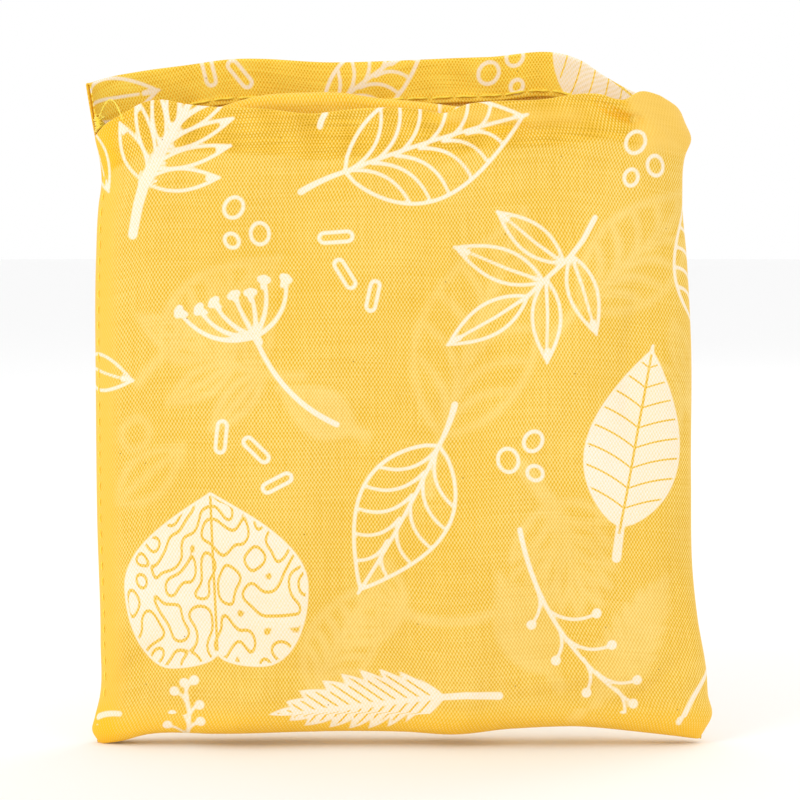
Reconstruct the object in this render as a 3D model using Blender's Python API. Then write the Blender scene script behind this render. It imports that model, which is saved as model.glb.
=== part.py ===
"""A foldable tote bag, folded and slipped into its own open-mouthed cloth pouch.

The pouch stands on its turned-under base. +Z is up, +X is to the right of someone who faces the
printed front, and the front faces -Y. The origin is the middle of the base. Units are metres.

The pouch is a front and a back panel of thin cloth, sewn together down both sides and along the
bottom, with a stitched hem turned inwards along each mouth edge. Each hem can be pulled open about
its own stitch line. The folded tote, two plies of cloth with hems and two strap handles, slides up
out of the mouth.
"""

import bmesh
import bpy
import numpy as np

# ---- Pouch sizes ----
POUCH_WIDTH = 0.1190  # across the side seams, halfway up
CORNER_FLARE = 0.0034  # how far each bottom corner stands out past the side seam
FLARE_HEIGHT = 0.0350  # the flare dies away over this height
FRONT_HEIGHT = 0.1270  # base to the front mouth edge
BACK_HEIGHT = 0.1376  # base to the back mouth edge
BASE_DEPTH = 0.0160  # front to back at the base
MOUTH_CLEARANCE = 0.00085  # between the folded tote and the hems, front and back
BELLY_SWELL = 0.0024  # how much deeper the pouch is at its fullest than at its mouth
BELLY_LEVEL = 0.0550  # height of the fullest place
BASE_RADIUS = 0.0040  # round where each panel turns under
SIDE_FULLNESS = 4.0  # power of the plan's curve: 2 is an ellipse, more is squarer

# ---- Cloth, hems and seams ----
CLOTH = 0.0007  # thickness of one pouch panel
HEM_HEIGHT = 0.0090  # depth of the turned hem at each mouth edge
HEM_PLIES = 2  # layers of cloth in a hem
HEM_SHARE = 0.93  # share of the half width that each hem spans
SIDE_ALLOWANCE = 0.0050  # width of the seam turned inside at each side
BOTTOM_ALLOWANCE = 0.0036  # width of the seam turned inside along the base
SEAM_THICKNESS = 0.0010  # two plies and their overlock thread
GAP = 0.0003  # clearance between touching pieces

# ---- Thread ----
THREAD = 0.0003  # how far a row of stitches stands off the cloth
STITCH_LENGTH = 0.0047
STITCH_SPACE = 0.0005  # neck between one stitch and the next
STITCH_WIDTH = 0.0006
NECK_WIDTH = 0.0003
HEM_STITCH_LEVEL = 0.0009  # stitch line above a hem's lower edge
SIDE_STITCH_AT = 0.966  # share of the half width where the side rows run
TACK_HEIGHT = 0.0050
TACK_WIDTH = 0.0022
TACK_DEPTH = 0.0012

# ---- Folded tote ----
TOTE_PLY = 0.0009  # thickness that stands for one folded stack of the tote's cloth
PLY_GAP = 0.0005  # between the tote's front and back panel
LEG_PITCH = 0.0032  # from one fold's layer to the next
TOTE_SIDE_CLEARANCE = 0.0011  # between the folded tote and the side seams
FOLD_RISE = 0.0024  # how far the upper fold stands above the front mouth edge
FIRST_LEG_START = 0.0060  # height of the tote's bottom edge above the base
HEM_DROP = 0.0050  # the tote's mouth edge lies this far below the pouch's front mouth edge
TOTE_HEM_HEIGHT = 0.0180
STRAP_WIDTH = 0.0250
STRAP_PLY = 0.0009
STRAP_GAP = 0.0004  # between the two layers of a folded strap
STRAP_DROP = 0.0090  # the straps' crowns lie this far below the pouch's front mouth edge
STRAP_LENGTH = 0.0700  # of a strap as it lies folded
BOX_STITCH = 0.0180  # side of the square of stitches that holds a strap's end
BOX_STITCH_THREAD = 0.0003

# ---- Mesh density ----
COLUMNS = 26
WALL_ROWS = 14
ARC_STEPS = 5
TURN_STEPS = 6

# ---- Sizes that follow from the ones above ----
FOLD_REACH = PLY_GAP / 2 + TOTE_PLY  # from a fold's middle line to its outermost face
STRAP_MIDDLE = LEG_PITCH + FOLD_REACH + GAP + STRAP_PLY + STRAP_GAP / 2
STRAP_FACE = STRAP_MIDDLE + STRAP_GAP / 2 + STRAP_PLY
TOTE_REACH = STRAP_FACE + GAP + BOX_STITCH_THREAD
MOUTH_DEPTH = 2 * (TOTE_REACH + MOUTH_CLEARANCE + THREAD + GAP + HEM_PLIES * CLOTH)
BELLY_DEPTH = MOUTH_DEPTH + BELLY_SWELL
TOTE_HALF_WIDTH = POUCH_WIDTH / 2 - CLOTH - GAP - SIDE_ALLOWANCE - TOTE_SIDE_CLEARANCE
STRAP_TOP = FRONT_HEIGHT - STRAP_DROP
STRAP_BOTTOM = STRAP_TOP - STRAP_LENGTH

CLOTH_YELLOW = (0.95, 0.60, 0.08, 1.0)
HEM_YELLOW = (0.90, 0.52, 0.05, 1.0)
THREAD_YELLOW = (0.98, 0.66, 0.05, 1.0)
STRAP_YELLOW = (0.88, 0.50, 0.05, 1.0)


def smooth(t):
    """Eases from 0 to 1 as t goes from 0 to 1."""
    t = np.clip(t, 0.0, 1.0)
    return t * t * (3.0 - 2.0 * t)


def half_width(z):
    """Half the pouch's width at height z: even up the sides, wider at the bottom corners."""
    return POUCH_WIDTH / 2 + CORNER_FLARE * (1.0 - smooth(z / FLARE_HEIGHT))


def half_depth(z):
    """Half the pouch's depth at height z: narrow at the base, full at the belly, narrower at the mouth."""
    rise = smooth((z - BASE_RADIUS) / (BELLY_LEVEL - BASE_RADIUS))
    fall = smooth((z - BELLY_LEVEL) / (FRONT_HEIGHT - BELLY_LEVEL))
    lower = BASE_DEPTH + (BELLY_DEPTH - BASE_DEPTH) * rise
    return (lower + (MOUTH_DEPTH - BELLY_DEPTH) * fall) / 2


def plan(u):
    """Share of the full depth at u, the share of the half width: 1 at the middle, 0 at the seams."""
    return np.sqrt(np.clip(1.0 - np.abs(u) ** SIDE_FULLNESS, 0.0, 1.0))


def across(reach=1.0, columns=COLUMNS):
    """Shares of the half width from -reach to reach, closer together towards the sides."""
    turn = np.linspace(-np.pi / 2, np.pi / 2, columns + 1)
    return reach * (0.65 * np.sin(turn) + 0.35 * turn / (np.pi / 2))


def finish(name, vertices, faces, colour, roughness, smooth_shade=True):
    """Makes one closed mesh object with its own Principled material, its faces pointing out."""
    mesh = bpy.data.meshes.new(name)
    mesh.from_pydata([tuple(map(float, v)) for v in vertices], [], [tuple(map(int, f)) for f in faces])
    work = bmesh.new()
    work.from_mesh(mesh)
    bmesh.ops.recalc_face_normals(work, faces=work.faces)
    work.to_mesh(mesh)
    work.free()
    if smooth_shade:
        mesh.shade_smooth()
        mesh.set_sharp_from_angle(angle=np.radians(40))
    material = bpy.data.materials.new(name)
    material.use_nodes = True
    shader = material.node_tree.nodes["Principled BSDF"]
    shader.inputs["Base Color"].default_value = colour
    shader.inputs["Roughness"].default_value = roughness
    shader.inputs["Metallic"].default_value = 0.0
    mesh.materials.append(material)
    item = bpy.data.objects.new(name, mesh)
    bpy.context.scene.collection.objects.link(item)
    return item


def shell(name, outer, inner, colour, roughness=0.7):
    """A sheet with a thickness: two matching grids of points, joined all the way round their rims."""
    rows, columns = outer.shape[:2]
    count = rows * columns
    index = np.arange(count).reshape(rows, columns)
    quads = np.stack([index[:-1, :-1], index[:-1, 1:], index[1:, 1:], index[1:, :-1]], axis=-1).reshape(-1, 4)
    rim = np.concatenate([index[0, :], index[1:, -1], index[-1, -2::-1], index[-2:0:-1, 0]])
    following = np.roll(rim, -1)
    wall = np.stack([following, rim, rim + count, following + count], axis=-1)
    faces = np.concatenate([quads, quads[:, ::-1] + count, wall])
    vertices = np.concatenate([outer.reshape(-1, 3), inner.reshape(-1, 3)])
    return finish(name, vertices, faces, colour, roughness)


def tube(name, sections, colour, roughness=0.7, smooth_shade=False):
    """A solid through a row of closed outlines with the same number of points, shut at both ends.

    Each outline is a strip: its first half of points runs along one side and its second half comes
    back along the other, so that the end caps are rows of quads.
    """
    steps, points = sections.shape[:2]
    index = np.arange(steps * points).reshape(steps, points)
    here, there = index[:-1], index[1:]
    sides = np.stack([here, np.roll(here, -1, axis=1), np.roll(there, -1, axis=1), there], axis=-1).reshape(-1, 4)
    half = points // 2
    caps = []
    for row in (index[0], index[-1]):
        back = row[::-1]
        caps.append(np.stack([row[: half - 1], row[1:half], back[1:half], back[: half - 1]], axis=-1))
    faces = np.concatenate([sides, *caps])
    return finish(name, sections.reshape(-1, 3), faces, colour, roughness, smooth_shade)


# ---- Pouch ----
def panel_profile(top, inset):
    """A panel's path up the middle: along the base from the seam, round the turn, up the wall.

    Returns its distance from the seam's plane and its height. Inset moves it inwards by that much.
    """
    flat_end = BASE_DEPTH / 2 - BASE_RADIUS
    flat = np.linspace(0.0, flat_end, 3)[:-1]
    angle = np.linspace(0.0, np.pi / 2, ARC_STEPS + 1)
    radius = BASE_RADIUS - inset
    arc_out = flat_end + radius * np.sin(angle)
    arc_up = BASE_RADIUS - radius * np.cos(angle)
    wall_up = np.linspace(BASE_RADIUS, top, WALL_ROWS + 1)[1:]
    wall_out = half_depth(wall_up) - inset
    out = np.concatenate([flat, arc_out, wall_out])
    up = np.concatenate([np.full(flat.size, inset), arc_up, wall_up])
    return out, up


def panel_grid(side, top, inset):
    """One face of a panel as a grid of points. Side is -1 for the front and 1 for the back."""
    out, up = panel_profile(top, inset)
    u = across()
    x = (half_width(up)[:, None] - inset) * u
    y = side * (GAP / 2 + out[:, None] * plan(u))
    z = np.repeat(up[:, None], u.size, axis=1)
    return np.stack([x, y, z], axis=-1)


def wall_point(side, u, z, inset=0.0):
    """A point on the outer face of the wall, or inset from it."""
    return np.stack(
        [(half_width(z) - inset) * u, side * (GAP / 2 + (half_depth(z) - inset) * plan(u)), z + 0.0 * u], axis=-1
    )


def pouch_panel(name, side, top):
    """A cloth panel that goes from the base seam, round the base and up to its hem."""
    return shell(name, panel_grid(side, top - HEM_HEIGHT - GAP, 0.0), panel_grid(side, top - HEM_HEIGHT - GAP, CLOTH),
                 CLOTH_YELLOW)


def mouth_hem(name, side, top):
    """The turned hem along a mouth edge, two plies thick, with its stitch line near its lower edge."""
    u, z = np.meshgrid(across(HEM_SHARE), np.linspace(top - HEM_HEIGHT, top, 5))
    return shell(name, wall_point(side, u, z), wall_point(side, u, z, HEM_PLIES * CLOTH), HEM_YELLOW)


def stitches(name, path, width_way, out_way, first_wide=True):
    """A row of machine stitches as one thread: long wide stitches joined by short narrow necks.

    Path gives a point for a distance along the row. The two ways give unit vectors at that distance.
    """
    length = path["length"]
    pitch = STITCH_LENGTH + STITCH_SPACE
    count = int(length // pitch)
    starts = (length - count * pitch) / 2 + pitch * np.arange(count)
    shares = np.array([0.02, 0.10, 0.5, 0.90, 0.98]) * STITCH_LENGTH
    at = (starts[:, None] + shares).ravel()
    wide = np.tile([NECK_WIDTH, STITCH_WIDTH, STITCH_WIDTH, STITCH_WIDTH, NECK_WIDTH], count) / 2
    middle = path["point"](at)
    sideways = width_way(at) * wide[:, None]
    outwards = out_way(at)
    low = middle + outwards * GAP
    high = middle + outwards * (GAP + THREAD)
    return tube(name, np.stack([low - sideways, low + sideways, high + sideways, high - sideways], axis=1),
                THREAD_YELLOW, 0.5)


def hem_stitches(name, side, top, inset):
    """The stitches along a hem. With no inset they lie on its outer face, otherwise on its inner face."""
    level = top - HEM_HEIGHT + HEM_STITCH_LEVEL
    reach = HEM_SHARE * half_width(level) - STITCH_LENGTH
    facing = side if inset == 0.0 else -side
    up = np.array([0.0, 0.0, 1.0])

    def point(s):
        u = (s - reach) / (half_width(level) - inset)
        return wall_point(side, u, np.full_like(s, level), inset)

    def outwards(s):
        step = 1e-5
        along = point(s + step) - point(s - step)
        normal = np.cross(along, up)
        normal /= np.linalg.norm(normal, axis=1, keepdims=True)
        return normal * np.sign(normal[:, 1:2]) * facing

    return stitches(name, {"length": 2 * reach, "point": point}, lambda s: np.tile(up, (s.size, 1)), outwards)


def side_stitches(name, side, hand):
    """The row of topstitching that runs up one side, close to the seam."""
    start = BASE_RADIUS * 2
    end = FRONT_HEIGHT - HEM_HEIGHT - STITCH_LENGTH

    def point(s):
        z = start + s
        return wall_point(side, np.full_like(z, hand * SIDE_STITCH_AT), z)

    def level_way(s):
        z = start + s
        step = 1e-4
        ahead = wall_point(side, np.full_like(z, hand * (SIDE_STITCH_AT + step)), z)
        along = ahead - point(s)
        return along / np.linalg.norm(along, axis=1, keepdims=True)

    def outwards(s):
        normal = np.cross(level_way(s), np.array([0.0, 0.0, 1.0]))
        normal /= np.linalg.norm(normal, axis=1, keepdims=True)
        return normal * np.sign(normal[:, 1:2]) * side

    return stitches(name, {"length": end - start, "point": point}, level_way, outwards)


def block(name, low, high, colour, roughness=0.7):
    """A box between two corners, with its edges eased."""
    low, high = np.array(low), np.array(high)
    mesh_corners = np.array([[x, y, z] for x in (0, 1) for y in (0, 1) for z in (0, 1)])
    vertices = low + (high - low) * mesh_corners
    faces = [(0, 1, 3, 2), (4, 6, 7, 5), (0, 4, 5, 1), (2, 3, 7, 6), (0, 2, 6, 4), (1, 5, 7, 3)]
    item = finish(name, vertices, faces, colour, roughness, smooth_shade=False)
    ease = item.modifiers.new("ease", "BEVEL")
    ease.width = 0.2 * float(np.min(high - low))
    ease.segments = 2
    return item


def side_seam(name, hand):
    """The seam allowance turned inside along one side, between the panels."""
    outer = POUCH_WIDTH / 2 - CLOTH - GAP
    inner = outer - SIDE_ALLOWANCE
    low = 2 * BASE_RADIUS
    high = FRONT_HEIGHT - HEM_HEIGHT - GAP
    edges = sorted((hand * inner, hand * outer))
    return block(name, (edges[0], -SEAM_THICKNESS / 2, low), (edges[1], SEAM_THICKNESS / 2, high), HEM_YELLOW)


def bottom_seam(name):
    """The seam allowance along the base, turned to lie flat on it."""
    reach = TOTE_HALF_WIDTH - SIDE_ALLOWANCE
    low = CLOTH + GAP
    return block(name, (-reach, GAP, low), (reach, GAP + BOTTOM_ALLOWANCE, low + SEAM_THICKNESS), HEM_YELLOW)


def bar_tack(name, hand):
    """The short dense bar of thread that ties the two mouth edges together at one corner."""
    centre = hand * (HEM_SHARE * POUCH_WIDTH / 2 + GAP + TACK_WIDTH / 2)
    low = FRONT_HEIGHT - HEM_HEIGHT + GAP
    front = -(2 * GAP + TACK_DEPTH)
    return block(name, (centre - TACK_WIDTH / 2, front, low),
                 (centre + TACK_WIDTH / 2, -2 * GAP, low + TACK_HEIGHT), THREAD_YELLOW, 0.5)


# ---- Folded tote ----
def bow(x):
    """Share of the full depth at x: the folded layers close up towards the sides, as the pouch does."""
    return plan(x / (POUCH_WIDTH / 2 - CLOTH))


def tote_path():
    """The middle line of the two plies: up, over, down, under, and up again, front to back.

    Its lowest fold lies on the pouch's bottom seam. Returns its points as depth and height, and its
    unit normals.
    """
    turn = LEG_PITCH / 2
    top = FRONT_HEIGHT + FOLD_RISE - turn - FOLD_REACH
    bottom = CLOTH + GAP + SEAM_THICKNESS + GAP + turn + FOLD_REACH
    end = FRONT_HEIGHT - HEM_DROP
    over = np.linspace(0.0, np.pi, TURN_STEPS + 1)
    first = np.array([[-LEG_PITCH, FIRST_LEG_START]])
    upper = np.stack([-turn - turn * np.cos(over), top + turn * np.sin(over)], axis=-1)
    lower = np.stack([turn - turn * np.cos(over), bottom - turn * np.sin(over)], axis=-1)
    split = np.array([[LEG_PITCH, end - TOTE_HEM_HEIGHT], [LEG_PITCH, end]])
    points = np.concatenate([first, upper, lower, split])
    upper_normals = np.stack([-np.cos(over), np.sin(over)], axis=-1)
    lower_normals = np.stack([np.cos(over), np.sin(over)], axis=-1)
    front_way = np.array([[-1.0, 0.0]])
    normals = np.concatenate([front_way, upper_normals, lower_normals, front_way, front_way])
    return points, normals


def ribbon(name, points, normals, low, high, half, colour, columns=16):
    """A band of cloth that follows a path of depth and height, between two offsets from it."""
    one = points + normals * low
    other = (points + normals * high)[::-1]
    outline = np.concatenate([one, other])
    x = np.linspace(-half, half, columns + 1)
    sections = np.stack(
        [np.repeat(x[:, None], len(outline), axis=1), bow(x)[:, None] * outline[:, 0], np.repeat(
            outline[None, :, 1], x.size, axis=0)], axis=-1)
    return tube(name, sections, colour, 0.7, smooth_shade=True)


def tote_ply(panel, hem, hand):
    """One of the tote's two plies, and the stitched hem at its mouth end."""
    points, normals = tote_path()
    low, high = sorted((hand * PLY_GAP / 2, hand * (PLY_GAP / 2 + TOTE_PLY)))
    split = len(points) - 2
    body = points[: split + 1].copy()
    body[-1, 1] -= GAP
    ribbon(panel, body, normals[: split + 1], low, high, TOTE_HALF_WIDTH, CLOTH_YELLOW)
    ribbon(hem, points[split:], normals[split:], low, high, TOTE_HALF_WIDTH, HEM_YELLOW)


def handle(name, side):
    """A strap handle, folded in half and lying flat against the folded tote."""
    middle = side * STRAP_MIDDLE
    turn = (STRAP_GAP + STRAP_PLY) / 2
    over = np.linspace(0.0, np.pi, TURN_STEPS + 1)
    crown = np.stack([middle - turn * np.cos(over), STRAP_TOP - turn + turn * np.sin(over)], axis=-1)
    crown_normals = np.stack([-np.cos(over), np.sin(over)], axis=-1)
    first = np.array([[middle - turn, STRAP_BOTTOM]])
    last = np.array([[middle + turn, STRAP_BOTTOM]])
    points = np.concatenate([first, crown, last])
    normals = np.concatenate([[[-1.0, 0.0]], crown_normals, [[1.0, 0.0]]])
    return ribbon(name, points, normals, -STRAP_PLY / 2, STRAP_PLY / 2, STRAP_WIDTH / 2, STRAP_YELLOW, columns=6)


def box_stitch(name, side, low):
    """The square of stitches that fixes one end of a strap, on the strap's outer face."""
    ways = sorted((side * (STRAP_FACE + GAP), side * TOTE_REACH))
    return block(name, (-BOX_STITCH / 2, ways[0], low), (BOX_STITCH / 2, ways[1], low + BOX_STITCH), THREAD_YELLOW, 0.5)


def build_pouch():
    """The two panels with their seams, and the two hems with their stitches."""
    pouch_panel("pouch_front_panel", -1, FRONT_HEIGHT)
    pouch_panel("pouch_back_panel", 1, BACK_HEIGHT)
    mouth_hem("front_mouth_hem", -1, FRONT_HEIGHT)
    mouth_hem("back_mouth_hem", 1, BACK_HEIGHT)
    hem_stitches("front_hem_stitching", -1, FRONT_HEIGHT, HEM_PLIES * CLOTH)
    hem_stitches("back_hem_stitching", 1, BACK_HEIGHT, HEM_PLIES * CLOTH)
    side_stitches("side_topstitching_left", -1, -1)
    side_stitches("side_topstitching_right", 1, 1)
    bottom_seam("bottom_seam")
    for word, hand in (("left", -1), ("right", 1)):
        side_seam("side_seam_" + word, hand)
        bar_tack("bar_tack_" + word, hand)


def build_tote():
    """The folded tote: its two plies, their hems, and two handles with their box stitches."""
    tote_ply("tote_front_panel", "tote_front_hem", 1)
    tote_ply("tote_back_panel", "tote_back_hem", -1)
    for word, side in (("front", -1), ("back", 1)):
        handle("handle_" + word, side)
        box_stitch("handle_" + word + "_stitching_lower", side, STRAP_BOTTOM + GAP)
        box_stitch("handle_" + word + "_stitching_upper", side, STRAP_BOTTOM + 2 * GAP + 1.5 * BOX_STITCH)


for old in list(bpy.data.objects):
    bpy.data.objects.remove(old, do_unlink=True)
build_pouch()
build_tote()
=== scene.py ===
"""A foldable tote bag packed in its own printed pouch: the looks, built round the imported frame.

The frame gives the bodies, the nodes' places and the joints. This script makes the cloth, the print,
the hems, the threads, the folded tote and its straps, and dresses the scene with a pale floor, soft
light and a camera. Lengths are in metres, except in drawings on the cloth, which are in millimetres.
"""

import logging
import math
from dataclasses import dataclass, field
from enum import Enum
from typing import Any, Callable, Sequence

import bpy
import numpy as np
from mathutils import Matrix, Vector


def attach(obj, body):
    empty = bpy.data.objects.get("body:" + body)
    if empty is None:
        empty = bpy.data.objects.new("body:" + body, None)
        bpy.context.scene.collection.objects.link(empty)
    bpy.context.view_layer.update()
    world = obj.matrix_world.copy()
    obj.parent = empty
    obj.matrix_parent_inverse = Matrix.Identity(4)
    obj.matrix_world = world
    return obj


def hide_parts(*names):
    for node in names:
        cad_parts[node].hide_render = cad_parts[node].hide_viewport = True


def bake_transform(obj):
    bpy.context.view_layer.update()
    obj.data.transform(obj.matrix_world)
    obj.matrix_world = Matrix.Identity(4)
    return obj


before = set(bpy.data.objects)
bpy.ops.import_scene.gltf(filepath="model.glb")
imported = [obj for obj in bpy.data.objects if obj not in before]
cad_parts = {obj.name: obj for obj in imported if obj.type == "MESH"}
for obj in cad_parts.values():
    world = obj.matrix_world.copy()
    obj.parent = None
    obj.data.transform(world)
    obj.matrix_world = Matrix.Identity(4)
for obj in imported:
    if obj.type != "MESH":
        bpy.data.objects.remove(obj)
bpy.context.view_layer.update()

MM = 0.001
INK_REACH = 1.5  # millimetres beyond which a distance to the ink no longer matters
HALF_WIDTH = 0.0595
UNDER = 0.0103  # the way along the cloth from the base seam to the wall
HEM_PLANE = 1000.0  # the hems' drawings are kept apart from the walls' by this much, in millimetres

log = logging.getLogger("pouch")


class Side(Enum):
    """Which side of the pouch or the tote, by the sign of its y."""

    FRONT = -1
    BACK = 1


class Inside(Enum):
    """What stays bare inside a filled shape, as a number that the cloth's material reads."""

    NOTHING = 0.0
    VEINS = 1.0
    CELLS = 2.0
    FEATHER = 3.0


class Shape(Enum):
    """The shapes that the print is made of."""

    PALM = "palm"
    VEINED = "veined"
    RING = "ring"
    CAPSULE = "capsule"
    UMBEL = "umbel"
    SPRIG = "sprig"
    SOLID = "solid"
    HEART = "heart"
    BERRIES = "berries"
    FERN = "fern"
    LENS = "lens"
    LINE = "line"


# ---------------------------------------------------------------- curves and waves
def ease(t: np.ndarray) -> np.ndarray:
    """Goes smoothly from 0 to 1 as t goes from 0 to 1, and stays there outside."""
    t = np.clip(t, 0.0, 1.0)
    return t * t * (3.0 - 2.0 * t)


def through(points: Sequence[tuple[float, float]], at: np.ndarray) -> np.ndarray:
    """A smooth curve through points, as the height at each place.

    Each stretch is a cubic whose slope at a point is the slope between that point's neighbours.

    Args:
        points: Places and heights, in order of place.
        at: The places to read.

    Returns:
        The heights, level beyond both ends.
    """
    x, y = np.array(points, float).T
    slope = np.gradient(y, x)
    at = np.clip(at, x[0], x[-1])
    k = np.clip(np.searchsorted(x, at) - 1, 0, len(x) - 2)
    width = x[k + 1] - x[k]
    t = (at - x[k]) / width
    rise = t * t * (3 - 2 * t)
    start, end = t * (1 - t) ** 2, t * t * (t - 1)
    return y[k] + (y[k + 1] - y[k]) * rise + width * (slope[k] * start + slope[k + 1] * end)


def bend(a: Sequence[float], b: Sequence[float], bow: float, steps: int = 12) -> np.ndarray:
    """A curved line from a to b, whose middle stands off to the left by bow times its length.

    Args:
        a: Where it starts.
        b: Where it ends.
        bow: The share of its length that it stands off, to the right if negative.
        steps: How many stretches it has.

    Returns:
        Its points, one more than steps.
    """
    first, last = np.array(a, float), np.array(b, float)
    way = last - first
    t = np.linspace(0, 1, steps + 1)[:, None]
    return first + way * t + 4 * bow * t * (1 - t) * np.array([-way[1], way[0]])


def turned(angle: float) -> np.ndarray:
    """The matrix that turns rows of points by angle in degrees."""
    c, s = math.cos(math.radians(angle)), math.sin(math.radians(angle))
    return np.array([[c, s], [-s, c]])


@dataclass(frozen=True)
class Waves:
    """A soft uneven field over the cloth: the sum of many plane waves of random way and phase."""

    seed: int
    shortest: float
    longest: float
    count: int = 26

    def at(self, s: np.ndarray, t: np.ndarray) -> np.ndarray:
        """The field at places in millimetres, with a standard deviation of about 1."""
        draw = np.random.default_rng(self.seed)
        angle = draw.uniform(0, 2 * np.pi, self.count)
        length = np.exp(draw.uniform(np.log(self.shortest), np.log(self.longest), self.count))
        phase = draw.uniform(0, 2 * np.pi, self.count)
        total = np.zeros(np.shape(s))
        for a, l, p in zip(angle, length, phase):
            total += np.sin(2 * np.pi * (s * math.cos(a) + t * math.sin(a)) / l + p)
        return total / math.sqrt(self.count / 2)


# ---------------------------------------------------------------- the print
@dataclass
class Drawing:
    """Marks of one ink: lines with a radius along them, and filled outlines."""

    lines: list[tuple[np.ndarray, np.ndarray]] = field(default_factory=list)
    fills: list[np.ndarray] = field(default_factory=list)
    inside: Inside = Inside.NOTHING

    def line(self, points: np.ndarray, start: float = 0.36, end: float | None = None) -> None:
        """Adds a line whose radius goes evenly from start to end."""
        last = start if end is None else end
        self.lines.append((np.asarray(points, float), np.linspace(start, last, len(points))))

    def placed(self, x: float, z: float, angle: float = 0.0, size: float = 1.0) -> "Drawing":
        """A copy that is scaled, turned and moved; lines keep their radius, as if drawn with one nib.

        Args:
            x: Where its origin goes, across the cloth.
            z: Where its origin goes, up the cloth.
            angle: How far it is turned, in degrees.
            size: The scale.

        Returns:
            The copy.
        """
        turn, shift = turned(angle) * size, np.array([x, z])
        lines = [(p @ turn + shift, r) for p, r in self.lines]
        return Drawing(lines, [p @ turn + shift for p in self.fills], self.inside)


def leaf_sides(length: float, half: float, swell: float = 0.85, steps: int = 22) -> list[np.ndarray]:
    """Both edges of a leaf along +x, whose width is a sine of the place.

    Args:
        length: From stem to tip.
        half: Half its greatest width.
        swell: A power of the place: below 1, the leaf is fuller near its stem.
        steps: How many stretches each edge has.

    Returns:
        The upper and the lower edge.
    """
    t = np.linspace(0, 1, steps + 1)
    wide = half * np.sin(np.pi * t**swell) ** 0.9
    return [np.stack([length * t, sign * wide], 1) for sign in (1, -1)]


def draw_lens(length: float = 15.0, half: float = 3.4, rib: float = 0.8) -> Drawing:
    """A narrow leaf: two edges that meet in a heavier tip, and a rib that stops short of it."""
    d = Drawing()
    for edge in leaf_sides(length, half, 0.9):
        d.line(edge, 0.34)
    d.line([(0, 0), (length * rib * 0.5, half * 0.08), (length * rib, 0)], 0.36, 0.28)
    d.line([(length * 0.86, 0), (length * 1.02, 0)], 0.52, 0.34)
    return d


def draw_veined(length: float = 37.0, half: float = 9.4, stem: float = 9.5, veins: int = 5) -> Drawing:
    """A broad outlined leaf with a stem, a rib and bowed veins that sweep towards its tip."""
    d = Drawing()
    upper, lower = leaf_sides(length, half, 0.80, 28)
    for edge in (upper, lower):
        d.line(edge, 0.37)
    d.line(bend((-stem, -1.2), (0, 0), 0.03), 0.66, 0.42)
    d.line(bend((0, 0), (length * 1.03, 0), 0.018), 0.40, 0.34)
    for k in range(veins):
        t = 0.02 + 0.80 * k / veins
        reach = min(t + 0.27 - 0.02 * k, 0.985)
        for sign, edge in ((1, upper), (-1, lower)):
            end = edge[int(round(reach * (len(edge) - 1)))]
            d.line(bend((length * t, 0), end, -0.17 * sign), 0.36, 0.32)
    return d


def draw_solid(length: float = 36.6, half: float = 10.3, stem: float = 6.2) -> Drawing:
    """A filled leaf with a filled stem, whose rib and swept veins stay bare."""
    d = Drawing(inside=Inside.VEINS)
    upper, lower = leaf_sides(length, half, 0.78, 30)
    d.fills.append(np.concatenate([upper, lower[-2:0:-1]]))
    d.line([(-stem, -0.5), (0, 0), (3.0, 0)], 0.95, 0.80)
    d.line([(length * 0.93, 0), (length * 1.02, 0)], 0.7, 0.3)
    return d


def draw_ring(radius: float = 1.9) -> Drawing:
    """A slightly uneven ring."""
    turn = np.linspace(0, 2 * np.pi, 25)
    d = Drawing()
    d.line(np.stack([radius * np.cos(turn), radius * 1.06 * np.sin(turn + 0.15)], 1), 0.37)
    return d


def draw_capsule(length: float = 6.4, half: float = 0.95) -> Drawing:
    """The outline of a seed with round ends."""
    turn = np.linspace(-np.pi / 2, np.pi / 2, 8)
    cap = np.stack([length / 2 - half + half * np.cos(turn), half * np.sin(turn)], 1)
    loop = np.concatenate([cap, -cap, cap[:1]])
    d = Drawing()
    d.line(loop, 0.37)
    return d


def draw_umbel() -> Drawing:
    """A flower head along +x: bowed rays with a flat bud on each, on a long bowed stem."""
    d = Drawing()
    d.line(bend((-22.4, -8.6), (0, 0), 0.10, 16), 0.56, 0.46)
    rays = ((50, 16.2), (42, 12.6), (28, 10.8), (5, 9.4), (-16, 8.9), (-31, 11.6), (-50, 13.2))
    for angle, long in rays:
        way = np.array([math.cos(math.radians(angle)), math.sin(math.radians(angle))])
        end = way * long
        d.line(bend((0, 0), end, 0.0034 * angle, 10), 0.50, 0.36)
        d.line([end - way * 1.7, end], 0.40, 0.95)
        d.line([end - way[::-1] * np.array([-0.7, 0.7]), end + way[::-1] * np.array([-0.7, 0.7])], 0.72)
    d.line([(-1.2, -0.3), (1.0, 0)], 0.85, 0.8)
    return d


def draw_sprig() -> Drawing:
    """A bowed twig that leans down to the left, with two narrow leaves on either side and one at its end."""
    d = Drawing()
    d.line([(0, 0), (-2.4, -4.4), (-5.2, -8.0), (-10.0, -12.4), (-13.8, -16.0)], 0.55, 0.40)
    leaves = (
        ((-6.4, -9.0), (-19.4, 1.0)),
        ((-10.4, -12.7), (-27.8, -6.0)),
        ((-13.6, -15.8), (-29.2, -25.2)),
        ((-9.8, -12.3), (-9.6, -28.6)),
        ((-4.8, -7.6), (0.2, -23.0)),
    )
    for base, tip in leaves:
        way = np.subtract(tip, base)
        long = float(np.linalg.norm(way))
        angle = math.degrees(math.atan2(way[1], way[0]))
        d.lines += draw_lens(long, 0.15 * long + 0.4, 0.82).placed(base[0], base[1], angle).lines
    return d


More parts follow.
